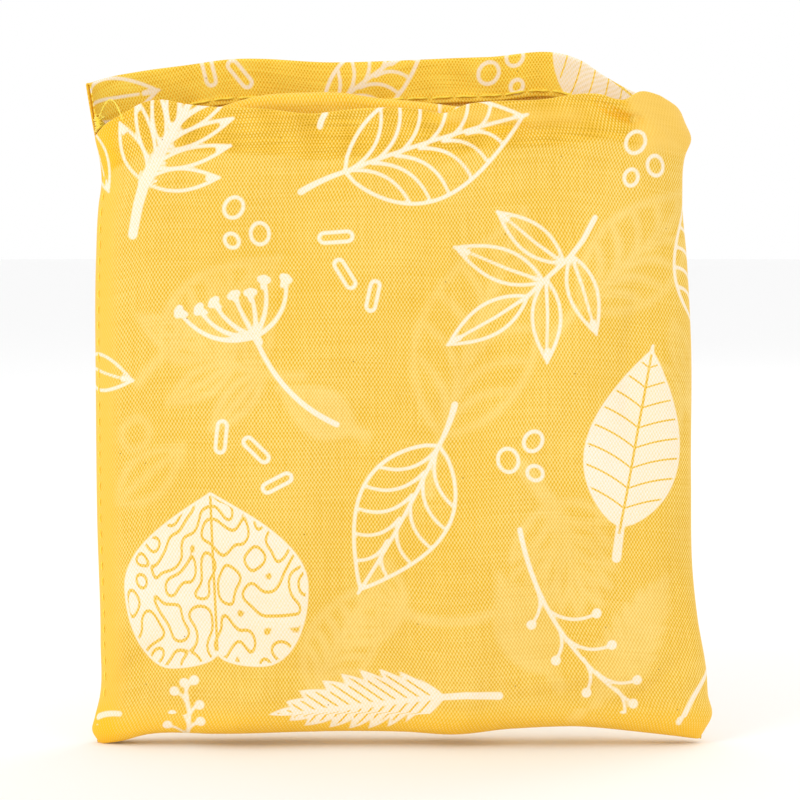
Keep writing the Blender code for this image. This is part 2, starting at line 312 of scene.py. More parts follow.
def draw_palm() -> Drawing:
    """A thick rib along +x, on a bent stem, with long outlined lobes that part from it on both sides."""
    d = Drawing()
    d.line([(-10.2, -3.2), (-4.5, -1.2), (0, 0)], 1.0, 1.15)
    d.line([(0, 0), (7.0, 0.2), (14.0, 0.0), (19.0, 0)], 1.35, 0.5)
    lobes = (
        (0.4, 56, 12.6, 2.3), (0.2, -56, 15.0, 2.2), (4.0, 46, 13.6, 1.5), (3.6, -44, 16.0, 1.7),
        (7.8, 38, 13.2, 1.35), (7.4, -35, 15.4, 1.5), (11.6, 30, 11.8, 1.25), (11.2, -27, 13.2, 1.35),
        (15.4, 16, 10.0, 1.2), (15.6, -14, 10.6, 1.2),
    )
    for at, angle, long, half in lobes:
        d.lines += draw_lens(long, half, 0.16).placed(at, 0, angle).lines
    return d


def draw_heart(half: float = 19.0, tip: float = 19.5, lobe: float = 16.6, notch: float = 0.82) -> Drawing:
    """A filled heart-shaped leaf with its tip at +x, whose rib and winding loops stay bare.

    From the tip to its widest place, its width is a power of the sine of an angle and its length the
    cosine. From there each side is half an ellipse, which rises only a little towards the notch.
    """
    turn = np.linspace(0, 2 * np.pi, 97)[:-1]
    fore = np.pi - np.abs(turn - np.pi)
    aft = 2 * fore - np.pi
    low = np.where(aft < np.pi / 2, np.sin(aft), notch + (1 - notch) * np.sin(aft))
    wide = np.where(fore < np.pi / 2, np.sin(fore) ** 2.2, (1 + np.cos(aft)) / 2)
    long = np.where(fore < np.pi / 2, tip * np.cos(fore), -lobe * low)
    d = Drawing(inside=Inside.CELLS)
    d.fills.append(np.stack([long, half * wide * np.sign(np.sin(turn))], 1))
    return d


def draw_berries(length: float = 43.0, count: int = 7) -> Drawing:
    """A bowed twig with a round berry on a short bowed stalk at each side in turn."""
    d = Drawing()
    twig = bend((0, 0), (length, 0), -0.10, 24)
    d.line(twig, 0.50, 0.30)
    for k in range(count):
        at = twig[int(round((0.30 + 0.60 * k / (count - 1)) * 24))]
        sign = -1 if k % 2 == 0 else 1
        end = at + np.array([5.2, sign * (5.0 + (3.4 if sign > 0 else 0.0) - 0.45 * k)])
        d.line(bend(at - np.array([1.0, 0.0]), end, -0.16 * sign, 8), 0.36, 0.30)
        d.line([end, end + np.array([0.02, 0.0])], 1.0)
    d.line([(length, 0), (length + 0.02, 0)], 1.0)
    return d


def draw_fern(length: float = 35.0, half: float = 8.0, teeth: int = 9, stem: float = 11.0) -> Drawing:
    """A filled leaf with a toothed edge, bare feathery veins and a thick stem at its base."""
    d = Drawing(inside=Inside.FEATHER)
    t = np.linspace(0, 1, teeth * 6 + 1)
    saw = np.mod(t * teeth, 1.0)
    wide = half * np.sin(np.pi * np.clip(t, 0, 1) ** 0.75) ** 0.8 * (0.62 + 0.38 * saw**0.8)
    upper = np.stack([length * t + 2.0 * saw, wide], 1)
    d.fills.append(np.concatenate([upper, (upper * np.array([1, -1]))[-2:0:-1]]))
    d.line([(-stem, 1.2), (-stem * 0.4, 0.2), (2, 0)], 0.80, 0.62)
    return d


def draw_line(length: float = 10.0) -> Drawing:
    """One thick slightly bowed stroke along +x."""
    d = Drawing()
    d.line(bend((0, 0), (length, 0), 0.06), 0.6, 0.55)
    return d


DRAWERS: dict[Shape, Callable[..., Drawing]] = {
    Shape.PALM: draw_palm,
    Shape.VEINED: draw_veined,
    Shape.RING: draw_ring,
    Shape.CAPSULE: draw_capsule,
    Shape.UMBEL: draw_umbel,
    Shape.SPRIG: draw_sprig,
    Shape.SOLID: draw_solid,
    Shape.HEART: draw_heart,
    Shape.BERRIES: draw_berries,
    Shape.FERN: draw_fern,
    Shape.LENS: draw_lens,
    Shape.LINE: draw_line,
}


@dataclass(frozen=True)
class Mark:
    """One shape of the print at a place on the flat cloth, in millimetres and degrees."""

    shape: Shape
    x: float
    z: float
    angle: float = 0.0
    size: float = 1.0
    detail: tuple[float, ...] = ()

    def drawing(self) -> Drawing:
        """The shape's marks, where it lies."""
        return DRAWERS[self.shape](*self.detail).placed(self.x, self.z, self.angle, self.size)


class InkField:
    """The print on the flat cloth, as numbers at many places on it.

    `value` is the signed distance to the ink, negative inside it. Near a filled shape, `inside` says
    what stays bare in it, and `own` is the place along and across that shape, in millimetres.
    """

    def __init__(self, s: np.ndarray, t: np.ndarray) -> None:
        """Starts with no ink near any of the places, which are in millimetres."""
        self.places = np.stack([np.ravel(s), np.ravel(t)], 1)
        self.value = np.full(len(self.places), INK_REACH)
        self.inside = np.zeros(len(self.places))
        self.own = np.zeros((len(self.places), 2))

    def _close(self, points: np.ndarray, margin: float) -> np.ndarray:
        """Which places lie in the box round some points, widened by margin."""
        low, high = points.min(0) - margin, points.max(0) + margin
        inside = (self.places > low) & (self.places < high)
        return np.nonzero(inside.all(1))[0]

    @staticmethod
    def _to_line(places: np.ndarray, points: np.ndarray, radii: np.ndarray) -> np.ndarray:
        """Distance to a line less its radius: the least over its stretches.

        Args:
            places: Where to measure.
            points: The line.
            radii: Its radius at each point.

        Returns:
            The distances, negative inside the line.
        """
        a, way = points[:-1], np.diff(points, axis=0)
        long = np.maximum((way**2).sum(1), 1e-12)
        off = places[:, None, :] - a[None]
        share = np.clip((off * way).sum(2) / long, 0, 1)
        gap = np.linalg.norm(off - share[..., None] * way, axis=2)
        return (gap - (radii[:-1] + share * np.diff(radii))).min(1)

    @staticmethod
    def _within(places: np.ndarray, outline: np.ndarray) -> np.ndarray:
        """Whether each place is inside an outline: a ray from it crosses that an odd number of times."""
        a, b = outline, np.roll(outline, -1, axis=0)
        x, y = places[:, :1], places[:, 1:]
        rise = np.where(b[:, 1] == a[:, 1], 1e-12, b[:, 1] - a[:, 1])
        spans = (a[:, 1] > y) != (b[:, 1] > y)
        crosses = spans & (x < (b[:, 0] - a[:, 0]) * (y - a[:, 1]) / rise + a[:, 0])
        return crosses.sum(1) % 2 == 1

    def add(self, mark: Mark) -> None:
        """Lays a shape's ink on the cloth; where shapes meet, the nearer ink counts."""
        drawing = mark.drawing()
        for outline in drawing.fills:
            k = self._close(outline, INK_REACH)
            ring = np.concatenate([outline, outline[:1]])
            gap = self._to_line(self.places[k], ring, np.zeros(len(ring)))
            gap = np.where(self._within(self.places[k], outline), -gap, gap)
            mine = k[gap < np.minimum(self.value[k], 1.2)]
            self.inside[mine] = drawing.inside.value
            off = self.places[mine] - np.array([mark.x, mark.z])
            self.own[mine] = off @ turned(-mark.angle) / mark.size
            self.value[k] = np.minimum(self.value[k], gap)
        for points, radii in drawing.lines:
            k = self._close(points, INK_REACH + radii.max())
            self.value[k] = np.minimum(self.value[k], self._to_line(self.places[k], points, radii))

    def add_all(self, marks: Sequence[Mark]) -> "InkField":
        """Lays several shapes, and returns the field itself."""
        for mark in marks:
            self.add(mark)
        return self

    def fields(self) -> dict[str, np.ndarray]:
        """The numbers by the names that the cloth's material reads them by."""
        return {"ink": self.value, "inside": self.inside, "own_x": self.own[:, 0], "own_y": self.own[:, 1]}


FRONT_PRINT = (
    Mark(Shape.PALM, -51.8, 112.5, 59),
    Mark(Shape.VEINED, -11.4, 114.6, 17.3, 1.0, (37.0, 10.8, 9.6, 6)),
    Mark(Shape.RING, -33.6, 107.5, 0, 1.0, (1.95,)),
    Mark(Shape.RING, -28.4, 102.3, 40, 1.0, (1.95,)),
    Mark(Shape.RING, -34.0, 100.9, 80, 1.0, (1.4,)),
    Mark(Shape.CAPSULE, -13.2, 101.6, 4, 1.05),
    Mark(Shape.CAPSULE, -11.4, 94.3, -58),
    Mark(Shape.CAPSULE, -5.8, 89.9, 78, 0.95),
    Mark(Shape.UMBEL, -29.4, 81.7, 112),
    Mark(Shape.SPRIG, 38.6, 105.5, 0),
    Mark(Shape.RING, 46.8, 120.5, 0, 1.0, (2.05,)),
    Mark(Shape.RING, 51.2, 115.9, 60, 1.0, (1.85,)),
    Mark(Shape.RING, 46.0, 113.5, 20, 1.0, (1.5,)),
    Mark(Shape.RING, 26.2, 60.9, 0, 1.0, (1.9,)),
    Mark(Shape.RING, 21.2, 57.1, 50, 1.0, (2.15,)),
    Mark(Shape.RING, 26.6, 54.5, 90, 1.0, (1.5,)),
    Mark(Shape.CAPSULE, -36.2, 61.7, 84),
    Mark(Shape.CAPSULE, -29.2, 59.1, -44),
    Mark(Shape.CAPSULE, -25.0, 52.5, 28),
    Mark(Shape.SOLID, 44.0, 43.1, 79.6),
    Mark(Shape.VEINED, 7.4, 59.9, -118.5, 1.0, (33.0, 9.4, 8.8, 5)),
    Mark(Shape.HEART, -37.8, 31.2, 92.0),
    Mark(Shape.BERRIES, 23.6, 43.1, -57),
    Mark(Shape.FERN, 8.6, 8.8, 187),
    Mark(Shape.LENS, -69.6, 75.5, -10, 1.0, (15.2, 3.6)),
    Mark(Shape.BERRIES, -47.5, -12.0, 82, 0.55),
    Mark(Shape.LINE, 56.6, 2.0, 52, 1.35),
    Mark(Shape.LINE, -64.0, 3.5, 10, 0.6),
    Mark(Shape.LINE, -16.4, 123.6, 66, 0.28),
    Mark(Shape.VEINED, 63.2, 84.0, 92, 0.75),
    Mark(Shape.LENS, -67.0, 123.5, -62, 0.95),
)

FRONT_GHOST = (
    Mark(Shape.VEINED, 8.0, 62.0, 70, 1.25),
    Mark(Shape.VEINED, 36.0, 88.0, 40, 0.95),
    Mark(Shape.LENS, 20.0, 20.0, 60, 1.5),
    Mark(Shape.SOLID, 30.0, 14.0, 118, 0.6),
    Mark(Shape.VEINED, -48.0, 78.0, 40, 0.8),
    Mark(Shape.SPRIG, -20.0, 74.0, -60, 0.9),
    Mark(Shape.LENS, -58.0, 48.0, 40, 1.2),
    Mark(Shape.SOLID, -10.0, 63.0, 150, 0.45),
    Mark(Shape.PALM, 30.0, 48.0, -70, 0.9),
    Mark(Shape.UMBEL, 0.0, 26.0, 160, 0.8),
    Mark(Shape.RING, -54.0, 62.0, 0, 1.6),
    Mark(Shape.VEINED, -18.0, 10.0, 60, 0.7),
    Mark(Shape.FERN, 40.0, 8.0, 60, 0.8),
    Mark(Shape.SPRIG, 56.0, 60.0, 200, 0.8),
)

BACK_PRINT = (
    Mark(Shape.SOLID, -42.0, 84.0, 70, 0.95),
    Mark(Shape.VEINED, 30.0, 98.0, 150, 0.95),
    Mark(Shape.SPRIG, -14.0, 122.0, 280, 0.95),
    Mark(Shape.UMBEL, 40.0, 72.0, 62, 0.95),
    Mark(Shape.HEART, 28.0, 24.0, 76, 0.95),
    Mark(Shape.BERRIES, -52.0, 66.0, -70, 0.95),
    Mark(Shape.PALM, 52.0, 92.0, 96, 0.95),
    Mark(Shape.VEINED, -22.0, 16.0, 58, 0.95),
    Mark(Shape.FERN, 2.0, 74.0, 200, 0.9),
    Mark(Shape.RING, -36.0, 58.0, 0, 1.0, (2.0,)),
    Mark(Shape.RING, -31.0, 53.5, 0, 1.0, (1.7,)),
    Mark(Shape.RING, -37.0, 51.0, 0, 1.0, (1.5,)),
    Mark(Shape.CAPSULE, 8.0, 52.0, 20),
    Mark(Shape.CAPSULE, 12.0, 45.0, -60),
    Mark(Shape.CAPSULE, 2.0, 44.0, 85),
    Mark(Shape.RING, 22.0, 119.0, 0, 1.0, (1.9,)),
    Mark(Shape.RING, 27.0, 123.5, 0, 1.0, (1.6,)),
    Mark(Shape.RING, 27.5, 116.5, 0, 1.0, (2.1,)),
    Mark(Shape.LINE, -56.0, 14.0, 60, 1.2),
    Mark(Shape.CAPSULE, -52.0, 118.0, 40),
    Mark(Shape.CAPSULE, -55.0, 108.0, -30),
)

# The hem's drawings are in its own plane: x across, and HEM_PLANE plus the height above the base.
BACK_HEM_PRINT = (
    Mark(Shape.VEINED, -15.2, HEM_PLANE + 126.4, 36, 0.66),
    Mark(Shape.CAPSULE, -38.4, HEM_PLANE + 134.8, -76),
    Mark(Shape.CAPSULE, -32.2, HEM_PLANE + 134.0, -50),
    Mark(Shape.RING, 17.2, HEM_PLANE + 134.2, 0, 1.0, (2.05,)),
    Mark(Shape.RING, 22.4, HEM_PLANE + 137.4, 0, 1.0, (1.7,)),
    Mark(Shape.RING, 22.8, HEM_PLANE + 131.6, 0, 1.0, (1.25,)),
    Mark(Shape.SOLID, 30.5, HEM_PLANE + 141.5, -38, 0.82),
    Mark(Shape.LENS, -67.0, HEM_PLANE + 126.8, 12, 1.25),
)

TOTE_PRINT = (
    Mark(Shape.SPRIG, -22.0, 127.0, 280, 0.95),
    Mark(Shape.VEINED, 8.0, 118.0, 40),
    Mark(Shape.UMBEL, 38.0, 82.0, 84),
    Mark(Shape.PALM, -38.0, 68.0, 74),
    Mark(Shape.SOLID, -2.0, 62.0, 66, 0.95),
    Mark(Shape.HEART, 30.0, 32.0, 84, 0.95),
    Mark(Shape.BERRIES, -50.0, 52.0, -58, 0.9),
    Mark(Shape.RING, -14.0, 50.0, 0),
    Mark(Shape.RING, -9.0, 45.0, 0, 0.8),
    Mark(Shape.CAPSULE, 6.0, 40.0, 40),
    Mark(Shape.CAPSULE, 2.0, 32.0, -30),
    Mark(Shape.FERN, 4.0, 12.0, 184, 0.95),
    Mark(Shape.LENS, 46.0, 60.0, -50, 1.1),
    Mark(Shape.RING, 46.0, 8.0, 0, 1.1),
)


# ---------------------------------------------------------------- shader maths
@dataclass(frozen=True)
class Wire:
    """A shader socket that takes part in sums."""

    graph: "Graph"
    socket: Any

    def _math(self, operation: str, *others: "Wire | float", clamp: bool = False) -> "Wire":
        """This wire and others through one Math node."""
        settings = {"operation": operation, "use_clamp": clamp}
        return self.graph.node("ShaderNodeMath", settings, (self, *others))

    def __add__(self, other: "Wire | float") -> "Wire":
        """The sum."""
        return self._math("ADD", other)

    def __sub__(self, other: "Wire | float") -> "Wire":
        """The difference."""
        return self._math("SUBTRACT", other)

    def __mul__(self, other: "Wire | float") -> "Wire":
        """The product."""
        return self._math("MULTIPLY", other)

    def __truediv__(self, other: "Wire | float") -> "Wire":
        """The quotient."""
        return self._math("DIVIDE", other)

    def __rsub__(self, other: float) -> "Wire":
        """A number less this wire."""
        return (self * -1.0) + other

    def __rtruediv__(self, other: float) -> "Wire":
        """A number over this wire."""
        return self._math("POWER", -1.0) * other

    __radd__ = __add__
    __rmul__ = __mul__

    def sine(self) -> "Wire":
        """Its sine."""
        return self._math("SINE")

    def size(self) -> "Wire":
        """Its size without its sign."""
        return self._math("ABSOLUTE")

    def largest(self, other: "Wire | float") -> "Wire":
        """The larger of two."""
        return self._math("MAXIMUM", other)

    def clipped(self) -> "Wire":
        """Held between 0 and 1."""
        return self._math("ADD", 0.0, clamp=True)

    def power(self, exponent: float) -> "Wire":
        """Raised to a power."""
        return self._math("POWER", exponent)

    def eased(self, start: float, end: float) -> "Wire":
        """0 before start and 1 after end, with a smooth rise between; start may be above end."""
        wire = self if start < end else self * -1.0
        low, high = (start, end) if start < end else (-start, -end)
        values = {"Value": wire, "From Min": low, "From Max": high}
        return self.graph.node("ShaderNodeMapRange", {"interpolation_type": "SMOOTHSTEP"}, values)


class Graph:
    """A material's node tree, built one node at a time."""

    def __init__(self, name: str) -> None:
        """Makes a material with nothing but its output."""
        self.material = bpy.data.materials.new(name)
        self.material.use_nodes = True
        self.tree = self.material.node_tree
        self.tree.nodes.clear()

    def node(self, kind: str, settings: dict[str, Any], inputs: Any, output: int | str = 0) -> Wire:
        """Makes a node: its settings first, then its inputs.

        Args:
            kind: The node's type.
            settings: Its properties.
            inputs: Values or wires, in order or by socket name.
            output: Which socket to give back.

        Returns:
            A wire from that socket, or from none where the node has no outputs.
        """
        made = self.tree.nodes.new(kind)
        for key, value in settings.items():
            setattr(made, key, value)
        pairs = inputs.items() if isinstance(inputs, dict) else enumerate(inputs)
        for key, value in pairs:
            if isinstance(value, Wire):
                self.tree.links.new(value.socket, made.inputs[key])
            else:
                made.inputs[key].default_value = value
        return Wire(self, made.outputs[output] if made.outputs else None)

    def attribute(self, name: str) -> Wire:
        """A number stored at the mesh's points."""
        return self.node("ShaderNodeAttribute", {"attribute_name": name}, (), "Fac")

    def mix(self, share: "Wire | float", a: Any, b: Any) -> Wire:
        """A colour between a and b."""
        return self.node("ShaderNodeMix", {"data_type": "RGBA"}, {0: share, 6: a, 7: b}, 2)

    def tinted(self, colour: Wire, factor: Wire) -> Wire:
        """A colour times a number."""
        return self.node("ShaderNodeVectorMath", {"operation": "SCALE"}, {"Vector": colour, "Scale": factor})

    def cloth_place(self) -> tuple[Wire, Wire]:
        """Where a point lies on the flat cloth, in millimetres."""
        uv = self.node("ShaderNodeUVMap", {"uv_map": "Cloth"}, ())
        x = self.node("ShaderNodeSeparateXYZ", {}, (uv,), 0)
        return x * 1000.0, Wire(self, x.socket.node.outputs[1]) * 1000.0

    def joined(self, x: "Wire | float", y: "Wire | float", z: "Wire | float" = 0.0) -> Wire:
        """Three numbers as a vector."""
        return self.node("ShaderNodeCombineXYZ", {}, (x, y, z))

    def noise(self, at: Wire, size: float, detail: float = 2.0, output: int | str = 0) -> Wire:
        """Noise between 0 and 1 whose lumps are about size across."""
        settings = {"noise_dimensions": "3D"}
        values = {"Vector": at, "Scale": 1.0 / size, "Detail": detail, "Roughness": 0.55}
        return self.node("ShaderNodeTexNoise", settings, values, output)

    def surface(self, values: dict[str, Any]) -> bpy.types.Material:
        """Ends the material in a Principled shader with these inputs."""
        shader = self.node("ShaderNodeBsdfPrincipled", {}, values)
        self.node("ShaderNodeOutputMaterial", {}, {"Surface": shader})
        return self.material


def display(red: int, green: int, blue: int) -> tuple[float, float, float, float]:
    """A colour as it shows on a screen, turned to the linear numbers that shaders work in."""
    shown = np.array([red, green, blue]) / 255.0
    linear = np.where(shown <= 0.04045, shown / 12.92, ((shown + 0.055) / 1.055) ** 2.4)
    return (*map(float, linear), 1.0)


@dataclass(frozen=True)
class WovenCloth:
    """Plain-woven yellow cloth, thin enough for the print on its far side to show faintly."""

    name: str
    low: tuple[float, ...] = display(226, 174, 6)
    high: tuple[float, ...] = display(255, 223, 130)
    warp: float = 0.334
    weft: float = 0.52
    ink: bool = True

    def weave(self, x: Wire, z: Wire) -> Wire:
        """The over and under of plain weave: the product of a sine across and a sine along the cloth."""
        return (x * (math.pi / self.warp)).sine() * (z * (math.pi / self.weft)).sine()

    @staticmethod
    def lines_of(g: Graph, phase: Wire, spacing: float, width: float) -> Wire:
        """1 on lines where phase is a whole number of spacings, with soft edges."""
        wrapped = g.node("ShaderNodeMath", {"operation": "PINGPONG"}, (phase, spacing / 2))
        return wrapped.eased(width + 0.07, width - 0.07)

    @staticmethod
    def loops(g: Graph, x: Wire, y: Wire, level: float) -> Wire:
        """1 on the lines where a smooth noise passes a level: the gap to the level over the noise's slope."""
        step = 0.12
        here, aside, ahead = (
            g.noise(g.joined(x + dx, y + dy), 5.4, 0.0) for dx, dy in ((0.0, 0.0), (step, 0.0), (0.0, step))
        )
        rise, climb = aside - here, ahead - here
        slope = (rise * rise + climb * climb + 0.000004).power(0.5) / step
        return ((here - level).size() / slope).eased(0.34, 0.16)

    def bare(self, g: Graph) -> Wire:
        """1 where a filled shape stays bare inside, by the shape's own places along and across it.

        A leaf has its rib along its middle, and veins that leave it at even steps and sweep forward
        as their distance from the rib grows. A heart has loops, the level lines of a smooth noise.
        Nothing is bare close to the rim.
        """
        x, y = g.attribute("own_x"), g.attribute("own_y")
        kind, ink = g.attribute("inside"), g.attribute("ink")
        aside = y.size()
        rib = aside.eased(0.34, 0.20)
        veins = self.lines_of(g, x - aside * 0.55 + aside * aside * 0.020, 4.1, 0.20)
        feather = self.lines_of(g, x - aside * 1.15, 2.35, 0.30) * aside.eased(0.35, 0.75)
        loops = self.loops(g, x * 0.72, y, 0.405).largest(self.loops(g, x * 0.72, y, 0.575))
        is_veined, is_heart = (kind - 1.0).size().eased(0.6, 0.4), (kind - 2.0).size().eased(0.6, 0.4)
        is_feather = (kind - 3.0).size().eased(0.6, 0.4)
        total = is_veined * veins.largest(rib) + is_heart * loops.largest(rib) + is_feather * feather
        return (total * ink.eased(-0.35, -0.75)).clipped()

    def build(self) -> bpy.types.Material:
        """The cloth's material.

        The weave is crossed by uneven yarns, wanders a little, and fades where the cloth is a single
        smooth ply. Where a second ply lies behind, its own weave, of slightly different pitch and
        slant, beats against the first.

        Returns:
            The material.
        """
        g = Graph(self.name)
        x, z = g.cloth_place()
        flat = g.joined(x, z)
        drift = g.noise(flat, 9.0, 1.0)
        drift_two = g.noise(g.joined(x, z, 40.0), 7.0, 1.0)
        wx = x + (drift - 0.5) * 0.9
        wz = z + (drift_two - 0.5) * 1.1
        weave = self.weave(wx, wz)
        second = self.weave(wx * 1.055 + wz * 0.020, wz * 1.035 - wx * 0.045)
        across = g.noise(g.joined(x * 3.4, z * 0.09), 1.0, 1.0) - 0.5
        along = g.noise(g.joined(x * 0.06, z * 2.3, 9.0), 1.0, 1.0) - 0.5
        grain = g.noise(flat, 0.42, 2.0) - 0.5
        patch = g.noise(g.joined(x, z, 5.0), 21.0, 3.0) - 0.5
        pale, double, deep = g.attribute("pale"), g.attribute("double"), g.attribute("deep")
        ghost = g.attribute("ghost")
        inner = g.attribute("inner")
        live = (1.0 - pale * 0.72) * (1.0 + double * 0.75 + inner * 1.4)
        beat = weave * second * double
        tone = 0.44 + weave * live * 0.62 + beat * 0.75 + (across + along) * 0.40 * live + grain * 0.34 * live
        tone = (tone + patch * 0.42).clipped()
        cloth = g.mix(tone, self.low, self.high)
        cloth = g.mix(ghost.eased(1.4, -0.5) * (patch * 0.8 + 0.27), cloth, display(253, 226, 148))
        # pale: paler where the cloth is a single ply, and a painted highlight along the rolled lip.
        cloth = g.mix((pale * 0.60).clipped(), cloth, display(252, 207, 102))
        # The deep colour: the deeper yellow of doubled cloth, and painted shade towards the base and in the
        # creases.
        cloth = g.mix((deep * (0.84 - weave * 0.50 - beat * 0.7)).clipped(), cloth, display(254, 194, 8))
        # Painted light on the hem's inside, which sits in the shade of the mouth: lightened towards a pale
        # yellow.
        cloth = g.mix((inner * (0.46 + weave * 0.75 + beat + along)).clipped(), cloth, display(255, 229, 100))
        dim = g.attribute("dim")
        pits = weave * 0.19 + beat * 0.26 + along * 0.4
        cloth = g.tinted(cloth, (1.0 - dim * 0.13 + (dim + inner * 0.8) * pits).clipped())
        if self.ink:
            edge = g.attribute("ink") + weave * 0.07 + grain * 0.20
            printed = edge.eased(0.17, -0.16) * (1.0 - self.bare(g))
            shown = (0.55 + weave * 0.42 + grain * 0.8 + patch * 0.5).clipped()
            white = g.mix(shown, display(246, 226, 170), display(254, 245, 238))
            cloth = g.mix(printed * 0.93, cloth, white)
        mote = g.node("ShaderNodeTexVoronoi", {"voronoi_dimensions": "2D"}, {"Vector": flat, "Scale": 0.040})
        cloth = g.mix(mote.eased(0.0075, 0.003) * 0.7, cloth, display(120, 84, 10))
        lift = weave * 0.5 + grain * 0.6
        bump = g.node("ShaderNodeBump", {}, {"Strength": 0.35, "Distance": 0.00004, "Height": lift})
        values = {"Base Color": cloth, "Roughness": 0.66, "Specular IOR Level": 0.22, "Normal": bump}
        values |= {"Sheen Weight": 0.04, "Sheen Roughness": 0.4}
        return g.surface(values)


@dataclass(frozen=True)
class Thread:
    """Shiny polyester thread with fine lengthwise fibres."""

    name: str
    colour: tuple[float, ...] = display(255, 236, 84)
    dark: tuple[float, ...] = display(255, 208, 40)

    def build(self) -> bpy.types.Material:
        """The thread's material."""
        g = Graph(self.name)
        x, z = g.cloth_place()
        fibre = g.noise(g.joined(x * 1.2, z * 9.0), 1.0, 2.0)
        colour = g.mix(fibre.eased(0.25, 0.7), self.dark, self.colour)
        values = {"Base Color": colour, "Roughness": 0.42, "Specular IOR Level": 0.45}
        return g.surface(values | {"Sheen Weight": 0.15})


@dataclass(frozen=True)
class Webbing:
    """The straps' closer cloth, with a fine diagonal rib."""

    name: str
    low: tuple[float, ...] = display(244, 184, 44)
    high: tuple[float, ...] = display(254, 212, 92)

    def build(self) -> bpy.types.Material:
        """The strap's material: yarns crossed by a twill line whose phase steps along the strap."""
        g = Graph(self.name)
        x, z = g.cloth_place()
        rib = ((x + z) * (math.pi / 0.55)).sine() * 0.5 + 0.5
        yarn = g.noise(g.joined(x * 2.4, z * 0.25), 1.0, 1.0) - 0.5
        tone = (rib * 0.6 + yarn * 0.5 + 0.15).clipped()
        bump = g.node("ShaderNodeBump", {}, {"Strength": 0.25, "Distance": 0.00004, "Height": rib})
        values = {"Base Color": g.mix(tone, self.low, self.high), "Roughness": 0.65, "Normal": bump}
        return g.surface(values | {"Sheen Weight": 0.12})


# ---------------------------------------------------------------- meshes
def link(name: str, mesh: bpy.types.Mesh, material: bpy.types.Material) -> bpy.types.Object:
    """Puts a mesh in the scene as an object.

    Args:
        name: The object's name.
        mesh: Its mesh.
        material: Its material.

    Returns:
        The object.
    """
    mesh.materials.append(material)
    made = bpy.data.objects.new(name, mesh)
    bpy.context.scene.collection.objects.link(made)
    return made


def make_mesh(
    name: str, points: np.ndarray, faces: Sequence[Sequence[int]], flat: np.ndarray
) -> bpy.types.Mesh:
    """A smooth mesh with a place on the flat cloth for each vertex.

    Args:
        name: The mesh's name.
        points: Its vertices.
        faces: The vertices round each face.
        flat: Each vertex's place on the flat cloth, in metres.

    Returns:
        The mesh.
    """
    mesh = bpy.data.meshes.new(name)
    mesh.from_pydata(points.astype(float).tolist(), [], faces)
    layer = mesh.uv_layers.new(name="Cloth")
    corner = np.empty(len(mesh.loops), np.int32)
    mesh.loops.foreach_get("vertex_index", corner)
    layer.data.foreach_set("uv", flat[corner].astype(np.float32).ravel())
    mesh.shade_smooth()
    return mesh


def put(mesh: bpy.types.Mesh, **fields: np.ndarray) -> None:
    """Stores numbers at the mesh's vertices."""
    for name, values in fields.items():
        stored = mesh.attributes.new(name, "FLOAT", "POINT")
        stored.data.foreach_set("value", np.ravel(values).astype(np.float32))


def grid_normals(points: np.ndarray) -> np.ndarray:
    """Unit normals of a grid: the way to the next column crossed with the way to the next row."""
    return unit(np.cross(np.gradient(points, axis=1), np.gradient(points, axis=0)))


def rim_of(index: np.ndarray) -> list[np.ndarray]:
    """A grid's four edges in order round it, each from corner to corner."""
    return [index[0, :], index[:, -1], index[-1, ::-1], index[::-1, 0]]


def unit(vectors: np.ndarray) -> np.ndarray:
    """Vectors along the last axis, at length 1."""
    return vectors / np.maximum(np.linalg.norm(vectors, axis=-1, keepdims=True), 1e-12)


def length_along(line: np.ndarray) -> np.ndarray:
    """The way along a line, 0 at its first point; the points are its second last axis."""
    steps = np.linalg.norm(np.diff(line, axis=-2), axis=-1)
    return np.concatenate([np.zeros((*steps.shape[:-1], 1)), np.cumsum(steps, axis=-1)], axis=-1)


def cloth_shell(
    name: str, points: np.ndarray, flat: np.ndarray, ply: float, rows: np.ndarray, columns: np.ndarray
) -> tuple[bpy.types.Mesh, np.ndarray]:
    """A closed sheet: a fine face, a coarse face a ply behind it, and a rim that joins them.

    Args:
        name: The mesh's name.
        points: The fine face's grid, whose normals point away from the coarse face.
        flat: Where each of its points lies on the flat cloth, in metres.
        ply: The cloth's thickness.
        rows: The grid rows that the coarse face keeps, ends included.
        columns: The grid columns that it keeps, ends included.

    Returns:
        The mesh, and for each of its vertices the fine face's vertex that it comes from.
    """
    height, width = points.shape[:2]
    index = np.arange(height * width).reshape(height, width)
    quads = np.stack([index[:-1, :-1], index[:-1, 1:], index[1:, 1:], index[1:, :-1]], -1).reshape(-1, 4)
    kept = index[np.ix_(rows, columns)]
    behind = (points - grid_normals(points) * ply)[np.ix_(rows, columns)]
    back = np.arange(kept.size).reshape(kept.shape) + index.size
    rear = np.stack([back[:-1, :-1], back[1:, :-1], back[1:, 1:], back[:-1, 1:]], -1).reshape(-1, 4)
    faces = quads.tolist() + rear.tolist()
    for fine, coarse in zip(rim_of(index), rim_of(back)):
        picked = kept.ravel()[coarse - index.size]
        rising = fine[0] < fine[-1]
        found = np.searchsorted(fine if rising else fine[::-1], picked)
        stops = found if rising else len(fine) - 1 - found
        for k in range(len(coarse) - 1):
            run = fine[stops[k] : stops[k + 1] + 1]
            faces.append((*run[::-1].tolist(), int(coarse[k]), int(coarse[k + 1])))
    source = np.concatenate([index.ravel(), kept.ravel()])
    both = np.concatenate([points.reshape(-1, 3), behind.reshape(-1, 3)])
    return make_mesh(name, both, faces, flat.reshape(-1, 2)[source]), source


